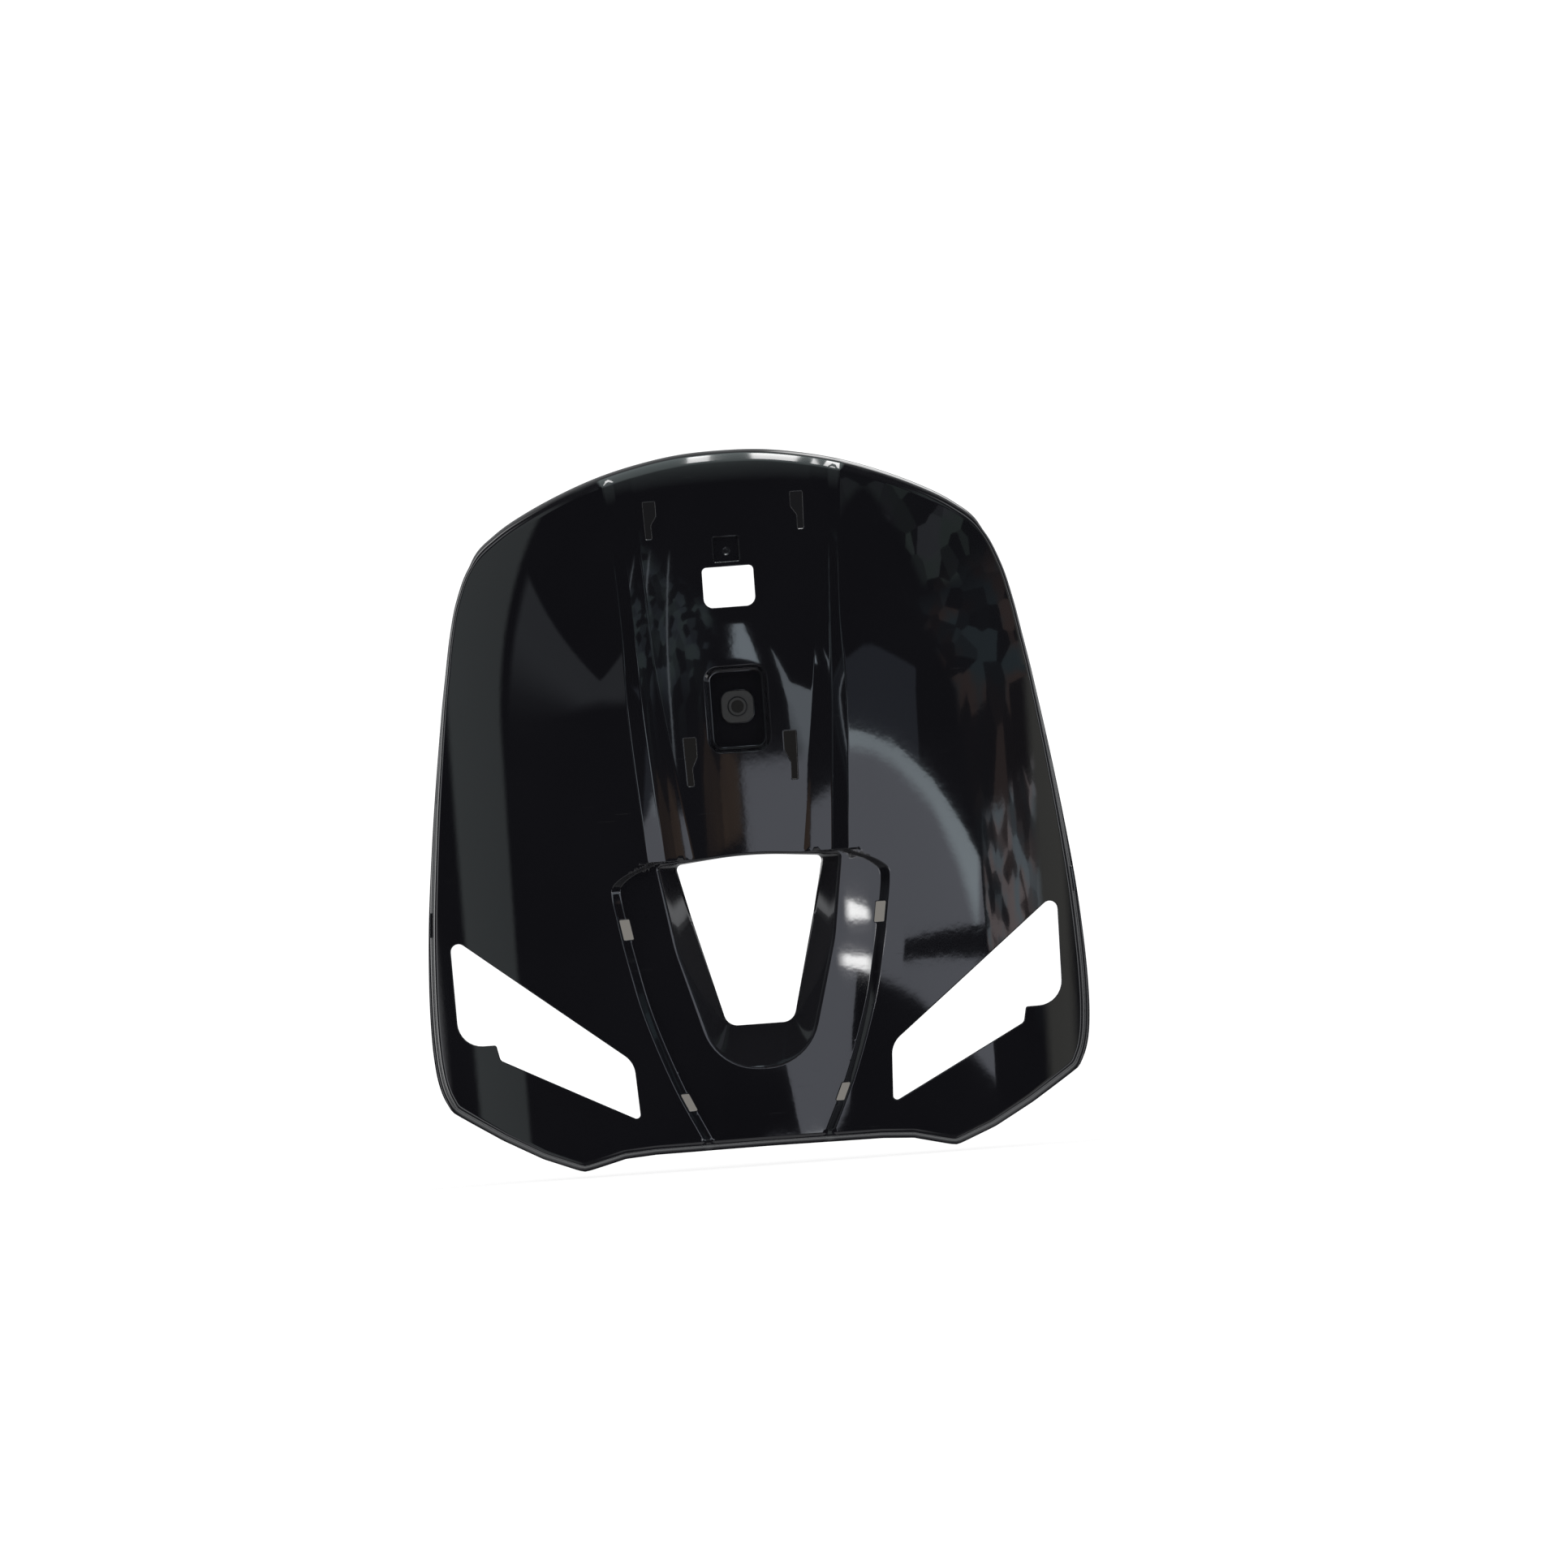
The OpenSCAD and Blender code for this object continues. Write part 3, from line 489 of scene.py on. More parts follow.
def build_rim(body, border_ids, back_ids, line):
    """Rolls the border over and back, with the flange behind it, and closes it inside."""
    out = outwards(line, 2)
    y = face(line[:, 0], line[:, 1])
    gx, gz = slopes(base_y, line[:, 0], line[:, 1])
    lean = np.arctan(np.maximum(gx * out[:, 0] + gz * out[:, 1], 0.02))
    wide, flare = roll_at(out[:, 1]), flare_at(line[:, 1])
    deep = wide * np.cos(lean) / (1 - np.sin(lean))

    def ring(d, e):
        q = line + out * d[:, None]
        return np.column_stack([q[:, 0], y + e, q[:, 1]])

    outer, inner = [], []
    for k in (1, 2, 3, 4, 5, 6):
        a = lean + (math.pi / 2 - lean) * k / 6
        d = wide * (np.sin(a) - np.sin(lean)) / (1 - np.sin(lean))
        e = deep * (np.cos(lean) - np.cos(a)) / np.cos(lean)
        outer.append(ring(d, e))
        inner.append(ring(d - WALL * np.sin(a), e + WALL * np.cos(a)))
    full = np.full(len(line), float(RIM_DEPTH))
    for k in (0.3, 0.65, 0.94):
        outer.append(ring(wide + flare * k * k, mix(deep, full, k)))
        inner.append(ring(wide + flare * k * k - WALL, mix(deep, full, k)))
    tip = [ring(wide + flare, full - 0.6), ring(wide + flare - 0.5, full),
           ring(wide + flare - WALL + 0.5, full), ring(wide + flare - WALL, full - 0.6)]
    rings = outer + tip + inner[::-1]
    body.strips(border_ids, rings, back_ids, turned=True)


def on(surface, q, d=0.0):
    """Points of an outline on a surface, moved back by d."""
    return lift(q, surface) + [0, d, 0]


def through_hole(body, line):
    """An opening straight through the wall, with softened edges: its loops in the two sheets."""
    line = split(line, 3.0)
    q, w = grown(line, EDGE_R), grown(line, BACK_EDGE_R)
    front, rear = body.on_surface(face, q, 1), body.on_surface(back, w, -1)
    rings = bend_rings(on(face, q), on(face, line), on(face, line, EDGE_R))[1:]
    rings += bend_rings(on(back, line, -BACK_EDGE_R), on(back, line), on(back, w), 3)[:-1]
    body.strips(front, rings, rear)
    return front, rear


def step_loops(body, line, foot, top, foot_y, top_y, r=0.6):
    """A raised step from a floor at foot_y to a top at top_y, its outlines grown by foot and top."""
    a, b = grown(line, foot + r), grown(line, top - r)
    ring_a, ring_b = body.on_floor(foot_y, a), body.on_floor(top_y, b)
    up = math.copysign(1, foot_y - top_y)
    low, high = lift(grown(line, foot), foot_y), lift(grown(line, top), top_y)
    wall_low, wall_high = low - [0, up * r, 0], high + [0, up * r, 0]
    rings = bend_rings(lift(a, foot_y), low, wall_low)[1:]
    rings += bend_rings(wall_high, high, lift(b, top_y))[:-1]
    body.strips(ring_a, rings, ring_b)
    return ring_a, ring_b


def flat_at(y):
    """A flat floor as a surface."""
    return lambda x, z: np.full_like(x, float(y)) + 0 * z


def build_body():
    body = Shell()
    line = border_line(BORDER_STEP)
    edge = body.on_surface(face, line, 1)
    gx, gz = slopes(base_y, line[:, 0], line[:, 1])
    n = np.stack([-gx, np.ones_like(gx), -gz], 1)
    n /= np.linalg.norm(n, axis=1)[:, None]
    inner = on(face, line) + n * WALL
    back_edge = body.on_surface(back, plan(inner), -1)
    build_rim(body, edge, back_edge, line)

    fronts, rears = [], []
    for p in [WINDOW_LINE] + both_sides([LAMP_LINE, SLOT_LINE, UPPER_SLOT_LINE] + CLIP_LINES):
        f, r = through_hole(body, p)
        fronts.append(f)
        rears.append(r)

    # The funnel: its mouth's rounding, its wall, its end and its outside
    mouth, hole = ccw(rounded(placed(MOUTH), 10)), ccw(rounded(placed(HOLE), 10))
    mouth, hole = split(mouth, 3, mouth), split(hole, 3, mouth)
    end_y = FACE_Y + SEAT_D + FUNNEL_D
    q = grown(mouth, FUNNEL_R)
    front = body.on_surface(face, q, 1)
    fronts.append(front)
    corner = lift(mouth, lambda x, z: base_y(x, z) + SEAT_D)
    low = lift(hole, end_y)
    into = mix(corner, low, 0.07)
    rings = bend_rings(on(face, q), corner, into)[1:]
    rings += [mix(corner, low, k) for k in (0.3, 0.6, 0.85, 0.97)]
    rim_out = lift(grown(hole, WALL), end_y)
    rings += [mix(low, rim_out, 0.2), mix(low, rim_out, 0.8)]
    foot = on(back, grown(mouth, WALL))
    rings += [mix(rim_out, foot, k) for k in (0.03, 0.3, 0.6, 0.9)]
    rear = body.on_surface(back, grown(mouth, WALL + 1), -1)
    rears.append(rear)
    body.strips(front, rings, rear)

    # The screw pocket: its wall, its floor with pad and ring, the bore and the tub behind
    pocket = split(frame_line(POCKET_W, POCKET_H, POCKET_Z, POCKET_R, POCKET_R), 3)
    q = grown(pocket, POCKET_EDGE_R)
    front = body.on_surface(face, q, 1)
    fronts.append(front)
    floor_q = grown(pocket, -POCKET_DRAFT - 1.7)
    floor = body.on_floor(FLOOR_Y, floor_q)
    rings = bend_rings(on(face, q), on(face, pocket), on(face, pocket, POCKET_EDGE_R))[1:]
    low_wall = grown(pocket, -POCKET_DRAFT)
    rings += bend_rings(lift(low_wall, FLOOR_Y - 1.6), lift(low_wall, FLOOR_Y),
                        lift(floor_q, FLOOR_Y))[:-1]
    body.strips(front, rings, floor)
    pad = split(frame_line(PAD_W, PAD_W, 0, PAD_R, PAD_R), 2)
    pad_y, ring_y = FLOOR_Y - PAD_H, FLOOR_Y - PAD_H - RING_H
    pad_foot, pad_top = step_loops(body, pad, 0, 0, FLOOR_Y, pad_y, 0.5)
    body.sheet(floor, [pad_foot], flat_at(FLOOR_Y), 3)
    ring_foot, ring_top = step_loops(body, circle_line(RING_R), 0, 0, pad_y, ring_y, 0.3)
    body.sheet(pad_top, [ring_foot], flat_at(pad_y), 2.5)
    bore = circle_line(SCREW_R)
    lip, sole = circle_line(SCREW_R + 0.3), circle_line(SCREW_R + 0.3)
    rings = bend_rings(lift(lip, ring_y), lift(bore, ring_y), lift(bore, ring_y + 0.3))
    rings += bend_rings(lift(bore, FLOOR_BACK_Y - 0.3), lift(bore, FLOOR_BACK_Y),
                        lift(sole, FLOOR_BACK_Y))
    sole_ids = body.strips(ring_top, rings, None)
    tub = grown(pocket, WALL)
    tub_in = grown(pocket, WALL - 1.2)
    tub_end = body.on_floor(FLOOR_BACK_Y, tub_in, -1)
    body.sheet(tub_end, [sole_ids], flat_at(FLOOR_BACK_Y), 4, side=-1)
    w2 = grown(pocket, WALL + 1)
    rear = body.on_surface(back, w2, -1)
    rears.append(rear)
    rings = bend_rings(lift(tub_in, FLOOR_BACK_Y), lift(tub, FLOOR_BACK_Y),
                       lift(tub, FLOOR_BACK_Y - 1.2))[1:]
    rings += bend_rings(on(back, tub, 1), on(back, tub), on(back, w2), 3)[:-1]
    body.strips(tub_end, rings, rear)

    # The recess above the window, with a dimple in its floor
    dent_z = WINDOW_Z + WINDOW_H / 2 + DENT_GAP + DENT_H / 2
    dent = split(frame_line(DENT_W, DENT_H, dent_z, DENT_R, DENT_R), 2)
    q, fq = grown(dent, 0.5), grown(dent, -0.7)
    front = body.on_surface(face, q, 1)
    fronts.append(front)
    low = lambda x, z: face(x, z) + DENT_D
    floor = body.on_surface(low, fq, 1)
    rings = bend_rings(on(face, q), on(face, dent), on(face, dent, 0.4))[1:]
    rings += bend_rings(on(face, dent, DENT_D - 0.4), on(face, dent, DENT_D), lift(fq, low))[:-1]
    body.strips(front, rings, floor)
    spot = np.array([[0, dent_z - DIMPLE_DROP]])
    dimple = circle_line(DIMPLE_R, 40) + spot
    top = body.on_surface(low, grown(dimple, 0.4), 1)
    body.sheet(floor, [top], low, 2)
    rings = [lift(mix(spot, dimple, k), lambda x, z: low(x, z) + d)
             for k, d in ((1, 0.12), (0.93, 0.45), (0.75, 0.8), (0.45, 0.95), (0.2, 1.0))]
    body.cap(body.strips(top, rings, None))

    body.sheet(edge, fronts, face, FACE_STEP, feature_points())
    body.sheet(back_edge, rears, back, BACK_STEP, feature_points(), side=-1)
    return body


def build_mesh(shells, name):
    """Joins the shells into one mesh in metres, with smooth normals."""
    points, normals, faces, start = [], [], [], 0
    for s in shells:
        q, f = np.concatenate(s.points) * MM, np.concatenate(s.faces)
        a, b, c = (q[f[:, k]] for k in range(3))
        if (np.cross(a, b) * c).sum() < 0:
            f = f[:, ::-1]
        points.append(q)
        normals.append(np.concatenate(s.normals))
        faces.append(f + start)
        start += s.count
    p, n, f = (np.concatenate(k) for k in (points, normals, faces))
    mesh = bpy.data.meshes.new(name)
    mesh.from_pydata(p.tolist(), [], f.tolist())
    mesh.validate()
    flat = np.cross(p[f[:, 1]] - p[f[:, 0]], p[f[:, 2]] - p[f[:, 0]])
    made = np.zeros_like(p)
    for k in range(3):
        np.add.at(made, f[:, k], flat)
    made /= np.maximum(np.linalg.norm(made, axis=1), 1e-12)[:, None]
    known = np.linalg.norm(n, axis=1) > 0.5
    made[known] = n[known]
    mesh.shade_smooth()
    mesh.normals_split_custom_set_from_vertices(made.tolist())
    # The pad, its ring and the bore's lip are unpolished
    q = p / MM
    pad = (np.abs(plan(q)).max(axis=1) < PAD_W / 2 + 0.2) & (q[:, 1] < FLOOR_Y - 0.4)
    for key, value in (("rear", ease(made[:, 1] * 1.5 + 0.5)), ("edge", (~known).astype(float)),
                       ("unpolished", pad.astype(float))):
        mesh.attributes.new(key, "FLOAT", "POINT").data.foreach_set("value", value)
    obj = bpy.data.objects.new(name, mesh)
    bpy.context.scene.collection.objects.link(obj)
    return obj


def ring_shell(lines, r=0.35):
    """A closed ring through lines of points, each line's corner softened by r."""
    def towards(a, b):
        v = b - a
        return a + v * (r / np.maximum(np.linalg.norm(v, axis=1), 1e-6))[:, None]

    n = len(lines)
    soft_lines = []
    for k, p in enumerate(lines):
        soft_lines += [towards(p, lines[k - 1]), towards(p, lines[(k + 1) % n])]
    made = Shell()
    first = made.add(soft_lines[0])
    made.strips(first, soft_lines[1:], first)
    return made


def collar(line, depth):
    """A locating wall on the back, round an opening."""
    line = split(line, 3)
    near, far = grown(line, COLLAR_LEDGE), grown(line, COLLAR_LEDGE + COLLAR_T)
    return ring_shell([on(face, far, WALL / 2), on(face, far, depth), on(face, near, depth),
                       on(face, near, WALL / 2)])


def boss(x, z):
    """A screw boss on the back, with its pilot hole."""
    foot = circle_line(BOSS_R, 48, x, z)
    hole = circle_line(PILOT_R, 48, x, z)
    end = float(face(np.array([x]), np.array([z]))[0]) + WALL + BOSS_H
    made = Shell()
    first = made.add(on(face, foot, WALL / 2))
    wide, tight = circle_line(BOSS_R - 0.5, 48, x, z), circle_line(PILOT_R + 0.4, 48, x, z)
    rings = [lift(foot, end - 0.5), lift(wide, end), lift(tight, end), lift(hole, end - 0.4),
             lift(hole, end - PILOT_D)]
    made.cap(made.strips(first, rings, None))
    made.cap(first, turned=True)
    return made


def rib(line):
    """A rib that stands on the back along a line in X and Z."""
    v = np.gradient(line, axis=0)
    v /= np.linalg.norm(v, axis=1)[:, None]
    across = np.column_stack([-v[:, 1], v[:, 0]]) * RIB_T / 2
    round_it = np.concatenate([line + across, (line - across)[::-1]])
    tight = np.concatenate([line + across * 0.72, (line - across * 0.72)[::-1]])
    made = Shell()
    low = made.add(on(face, round_it, WALL / 2))
    made.strips(low, [on(face, round_it, WALL + RIB_H - 0.3)], None)
    high = np.arange(made.count - len(round_it), made.count)
    top = made.add(on(face, tight, WALL + RIB_H))
    made.strips(high, [], top)
    n, m = len(line), len(round_it)
    for loop, turned in ((low, True), (top, False)):
        i = np.arange(n - 1)
        quad = [loop[i], loop[i + 1], loop[m - 2 - i], loop[m - 1 - i]]
        tri = np.concatenate([np.stack([quad[0], quad[1], quad[2]], 1),
                              np.stack([quad[0], quad[2], quad[3]], 1)])
        made.faces.append(tri[:, ::-1] if turned else tri)
    return made


def tongue(share, side):
    """A snap tongue on the rim, with its catch window."""
    z = z_at(share)
    x = float(HALF_W * follow(SIDE, share))
    lean = math.atan(HALF_W * float(follow(SIDE, share + 0.02) - follow(SIDE, share - 0.02))
                     / (0.04 * EDGE_H))
    y = float(base_y(x, z)) + RIM_DEPTH - TONGUE_SINK
    x += RIM_ROUND + float(flare_at(z)) - TONGUE_T - TONGUE_SET
    long = TONGUE_SINK + TONGUE_L
    rect = np.array([(0, -TONGUE_W / 2), (long, -TONGUE_W / 2),
                     (long, TONGUE_W / 2), (0, TONGUE_W / 2)])
    win = np.array([(TONGUE_SINK + TONGUE_L / 4, -TONGUE_W / 4),
                    (TONGUE_SINK + TONGUE_L * 0.75, -TONGUE_W / 4),
                    (TONGUE_SINK + TONGUE_L * 0.75, TONGUE_W / 4),
                    (TONGUE_SINK + TONGUE_L / 4, TONGUE_W / 4)])

    def place(q, dx):
        q = split(q, 1.0, rect)
        zz, xx = q[:, 1], np.full(len(q), float(dx))
        turned = np.column_stack([xx * math.cos(lean) + zz * math.sin(lean), q[:, 0],
                                  -xx * math.sin(lean) + zz * math.cos(lean)])
        return (turned + [x, y, z]) * [side, 1, 1]

    return ring_shell([place(rect, 0), place(rect, TONGUE_T),
                       place(win, TONGUE_T), place(win, 0)], 0.25)


def backing():
    """Collars, bosses, ribs and tongues: each is sunk into the wall that it stands on."""
    out = [collar(WINDOW_LINE, WINDOW_COLLAR_D), collar(LAMP_LINE, LAMP_COLLAR_D),
           collar(other(LAMP_LINE), LAMP_COLLAR_D)]

    def rib_x(z):
        return HALF_W * mix(follow(FLOOR, rise(z)), follow(CREASE, rise(z)), 0.7)

    zs = np.linspace(z_at(LONG_RIB_LOW), z_at(LONG_RIB_TOP), 60)
    for s in (-1, 1):
        out.append(rib(np.column_stack([s * rib_x(zs), zs])))
        out += [boss(s * HALF_W * a, z_at(b)) for a, b in BOSSES]
        out += [tongue(share, s) for share in TONGUES]
    # The cross ribs, two of them broken where they would cross a slot
    for share, slot in CROSS_RIBS:
        z = z_at(share)
        far = float(rib_x(z))
        spans = [(-far, far)]
        if slot:
            slot_x = HALF_W * slot
            near = slot_x - SLOT_W - 1
            spans = [(-far, -slot_x - 1), (-near, near), (slot_x + 1, far)]
        out += [rib(np.column_stack([np.linspace(a, b, 24), np.full(24, z)])) for a, b in spans]
    return out


class Sock:
    """A value in a shader: arithmetic on it makes the maths nodes."""

    def __init__(self, tree, out):
        self.tree, self.out = tree, out

    def node(self, kind, inputs=(), out=0, **settings):
        made = self.tree.nodes.new(kind)
        for k, v in settings.items():
            setattr(made, k, v)
        for k, v in dict(inputs).items():
            if isinstance(v, Sock):
                self.tree.links.new(v.out, made.inputs[k])
            else:
                made.inputs[k].default_value = v
        return Sock(self.tree, made.outputs[out])

    def maths(self, op, *args, clamp=False):
        return self.node("ShaderNodeMath", dict(enumerate((self,) + args)), operation=op,
                         use_clamp=clamp)

    def __add__(self, v): return self.maths("ADD", v)
    def __mul__(self, v): return self.maths("MULTIPLY", v)
    def __sub__(self, v): return self.maths("SUBTRACT", v)
    def __truediv__(self, v): return self.maths("DIVIDE", v)
    __radd__, __rmul__ = __add__, __mul__
    def __rsub__(self, v): return self.maths("MULTIPLY", -1.0) + v

    def band(self, low, high):
        """0 below low, 1 above high and smooth in between."""
        return self.node("ShaderNodeMapRange", {0: self, 1: low, 2: high, 3: 0.0, 4: 1.0},
                         interpolation_type="SMOOTHSTEP", clamp=True)

    def blend(self, a, b):
        """Colour a where this value is 0 and b where it is 1."""
        return self.node("ShaderNodeMix", {0: self, 6: a, 7: b}, out=2, data_type="RGBA")

    def noise(self, scale, detail=2.0, rough=0.5):
        return self.node("ShaderNodeTexNoise", {"Vector": self, "Scale": scale, "Detail": detail,
                                                "Roughness": rough})

    def cells(self, scale):
        return self.node("ShaderNodeTexVoronoi", {"Vector": self, "Scale": scale})

    def stretched(self, scale, turn=(0.0, 0.0, 0.0)):
        return self.node("ShaderNodeMapping", {"Vector": self, "Scale": scale, "Rotation": turn})


def shader(name):
    """A new material: its tree, its Principled shader and a place to start values from."""
    mat = bpy.data.materials.new(name)
    mat.use_nodes = True
    tree = mat.node_tree
    bsdf = next(n for n in tree.nodes if n.type == "BSDF_PRINCIPLED")
    start = Sock(tree, None)
    return mat, bsdf, start, lambda name, v: tree.links.new(v.out, bsdf.inputs[name])


def gloss_black():
    mat, bsdf, start, link = shader("gloss_black_moulding")
    at = start.node("ShaderNodeTexCoord", out=3)
    rear = start.node("ShaderNodeAttribute", out=2, attribute_name="rear")
    edge = start.node("ShaderNodeAttribute", out=2, attribute_name="edge")
    pad = start.node("ShaderNodeAttribute", out=2, attribute_name="unpolished")
    bsdf.inputs["IOR"].default_value = 1.5
    bsdf.inputs["Coat Roughness"].default_value = 0.02
    peel = at.noise(160.0, 2.0)
    cloud = at.noise(9.0, 4.0)
    dust = at.cells(900.0).maths("LESS_THAN", 0.05) * at.noise(30.0, 3.0).band(0.5, 0.75)
    grain = at.noise(2600.0, 2.0)
    scratch = at.stretched((40.0, 14.0, 900.0), (0.3, 0.9, 0.2)).noise(1.0, 1.0).band(0.72, 0.8)
    scratch = scratch * at.noise(22.0, 2.0).band(0.52, 0.68)
    tone = cloud.blend((0.0034, 0.0034, 0.0044, 1), (0.006, 0.006, 0.0075, 1))
    tone = (dust * 0.5 + scratch * 0.12).blend(tone, (0.05, 0.05, 0.052, 1))
    tone = (edge * 0.2).blend(tone, (0.02, 0.02, 0.023, 1))
    # Painted shade: on the pad's grey, the ring's step and the inside of the bore are painted darker
    out = at.stretched((1.0, 0.0, 1.0))
    out = out.node("ShaderNodeVectorMath", {0: out}, out=1, operation="LENGTH")
    painted_shade = (out.band(0.0052, 0.0057) * (1.0 - out.band(0.0062, 0.0068))
             + (1.0 - out.band(0.0040, 0.0045)) * 0.6)
    tone = pad.blend(tone, (painted_shade * 0.8).blend((0.021, 0.0205, 0.0195, 1),
                                               (0.002, 0.002, 0.002, 1)))
    tone = rear.blend(tone, (0.026, 0.026, 0.028, 1))
    link("Base Color", tone)
    rough = 0.035 + cloud * 0.03 + scratch * 0.1 + dust * 0.3 + edge * 0.04
    link("Roughness", rough + rear * (0.34 + grain * 0.14) + pad * 0.35)
    link("Coat Weight", (1.0 - rear) * (1.0 - pad) * (0.5 - scratch * 0.3))
    bump = start.node("ShaderNodeBump", {"Strength": 0.12, "Distance": 0.0004,
                                         "Height": peel * (1.0 - rear) * 0.3 + grain * rear * 0.5})
    link("Normal", bump)
    return mat


def glowing(name, colour, strength, front_only=False, clutter=None, second=None):
    """A light whose strength follows the glow attribute, plain or broken into clutter; with
    front_only it colours a sheet of painted shade, which is no lamp.
    """
    mat = bpy.data.materials.new(name)
    mat.use_nodes = True
    tree = mat.node_tree
    tree.nodes.clear()
    start = Sock(tree, None)
    glow = start.node("ShaderNodeAttribute", out=2, attribute_name="glow")
    if front_only:
        glow = glow * (1.0 - start.node("ShaderNodeNewGeometry", out=6))
    hue = (*colour, 1)
    if clutter:
        at = start.node("ShaderNodeTexCoord", out=3).stretched(clutter)
        shard = at.node("ShaderNodeTexVoronoi", {"Vector": at, "Scale": 1.0, "Randomness": 0.9},
                        out=1)
        glow = glow * (0.05 + shard.band(0.35, 0.75) * 0.95)
        hue = at.noise(0.6).band(0.4, 0.6).blend(hue, (*(second or colour), 1))
    light = start.node("ShaderNodeEmission", {0: hue, 1: strength})
    clear = start.node("ShaderNodeBsdfTransparent")
    mixed = start.node("ShaderNodeMixShader", {0: glow, 1: clear, 2: light})
    out = tree.nodes.new("ShaderNodeOutputMaterial")
    tree.links.new(mixed.out, out.inputs[0])
    return mat


def sky(az, el, far):
    """A place round the panel in degrees: azimuth 0 is in front of it and 90 at its right."""
    a, e = np.radians(az), np.radians(el)
    return np.column_stack([np.sin(a) * np.cos(e), -np.cos(a) * np.cos(e), np.sin(e)]) * far


def overhead(x, y, far):
    """A place over the panel, by metres to its right and to its back."""
    return np.column_stack([x, y, np.full_like(x, far)])


def screen(name, lows, highs, colour, strength, soft_x=0.12, soft_low=0.12, soft_high=0.12,
           place=sky, far=3.0, **looks):
    """A soft light screen: lows and highs are pairs of places along its foot and its head."""
    shares = np.unique(np.concatenate([np.linspace(0, soft_low, 4), np.linspace(0.3, 0.7, 3),
                                       np.linspace(1 - soft_high, 1, 4)]))
    ends = soft_x * np.linspace(0, 1, 4)
    along = np.unique(np.concatenate([np.linspace(0, 1, 28), ends, 1 - ends]))
    n = len(along)
    low, high = (np.column_stack([np.interp(along, np.linspace(0, 1, len(t)), [p[k] for p in t])
                                  for k in (0, 1)]) for t in (lows, highs))
    rows, glow = [], []
    for v in shares:
        q = mix(low, high, v)
        rows.append(place(q[:, 0], q[:, 1], far))
        fall = ease(v / soft_low) * ease((1 - v) / soft_high)
        glow.append(fall * ease(np.minimum(along, 1 - along) / soft_x))
    m = len(shares)
    faces = [(i * n + j, i * n + j + 1, (i + 1) * n + j + 1, (i + 1) * n + j)
             for i in range(m - 1) for j in range(n - 1)]
    mesh = bpy.data.meshes.new(name)
    mesh.from_pydata((np.concatenate(rows) + [0, 0, SCREENS_Z]).tolist(), [], faces)
    mesh.attributes.new("glow", "FLOAT", "POINT").data.foreach_set("value", np.concatenate(glow))
    mesh.materials.append(glowing(name, colour, strength, **looks))
    obj = bpy.data.objects.new(name, mesh)
    bpy.context.scene.collection.objects.link(obj)
    obj.visible_camera = obj.visible_shadow = obj.visible_diffuse = False


def painted_shade_sheet(name, lines, tone, gap=3.0):
    """Painted shade: a glowing sheet close behind small openings, seen from the front only, standing
    in for the shade seen through them.
    """
    points, faces, start = [], [], 0
    for line in lines:
        q = on(back, grown(line, 2.2), gap)
        points.append(q)
        faces.append(list(range(start, start + len(q))))
        start += len(q)
    mesh = bpy.data.meshes.new(name)
    mesh.from_pydata((np.concatenate(points) * MM).tolist(), [], faces)
    mesh.attributes.new("glow", "FLOAT", "POINT").data.foreach_set("value", np.ones(start))
    mesh.materials.append(glowing(name, tone, 1.0, front_only=True))
    obj = bpy.data.objects.new(name, mesh)
    bpy.context.scene.collection.objects.link(obj)
    obj.visible_shadow = obj.visible_diffuse = obj.visible_glossy = False


def floor(low):
    """A pale floor that takes only a faint shadow and fades out round the panel."""
    mat = bpy.data.materials.new("pale_floor")
    mat.use_nodes = True
    tree = mat.node_tree
    bsdf = next(n for n in tree.nodes if n.type == "BSDF_PRINCIPLED")
    bsdf.inputs["Base Color"].default_value = (0.3, 0.3, 0.3, 1)
    bsdf.inputs["Roughness"].default_value = 1.0
    bsdf.inputs["Specular IOR Level"].default_value = 0.0
    bsdf.inputs["Emission Color"].default_value = (1, 1, 1, 1)
    bsdf.inputs["Emission Strength"].default_value = 0.72
    start = Sock(tree, None)
    at = start.node("ShaderNodeTexCoord", out=3)
    far = at.node("ShaderNodeVectorMath", {0: at}, out=1, operation="LENGTH")
    clear = start.node("ShaderNodeBsdfTransparent")
    shown = (1.0 - far.band(0.45, 1.5)) * (1.0 - start.node("ShaderNodeNewGeometry", out=6))
    mixed = start.node("ShaderNodeMixShader", {0: shown, 1: clear, 2: Sock(tree, bsdf.outputs[0])})
    out = next(n for n in tree.nodes if n.type == "OUTPUT_MATERIAL")
    tree.links.new(mixed.out, out.inputs[0])
    mesh = bpy.data.meshes.new("pale_floor")
    mesh.from_pydata([(-2, -2, 0), (2, -2, 0), (2, 2, 0), (-2, 2, 0)], [], [(0, 1, 2, 3)])
    mesh.materials.append(mat)
    obj = bpy.data.objects.new("pale_floor", mesh)
    bpy.context.scene.collection.objects.link(obj)
    obj.location = (0, 0.05, low)
    obj.visible_glossy = obj.visible_diffuse = False


def studio():
    """A white room, which only the gloss sees as dark."""
    world = bpy.data.worlds.new("studio")
    bpy.context.scene.world = world
    world.use_nodes = True
    tree = world.node_tree
    air = next(n for n in tree.nodes if n.type == "BACKGROUND")
    ray = tree.nodes.new("ShaderNodeLightPath")
    gloss = Sock(tree, ray.outputs["Is Glossy Ray"])
    mixed = gloss.blend((1.0, 1.0, 1.0, 1), (0.003, 0.003, 0.0035, 1))
    tree.links.new(mixed.out, air.inputs[0])
    air.inputs[1].default_value = 1.15
    bpy.context.scene.view_settings.view_transform = "Standard"


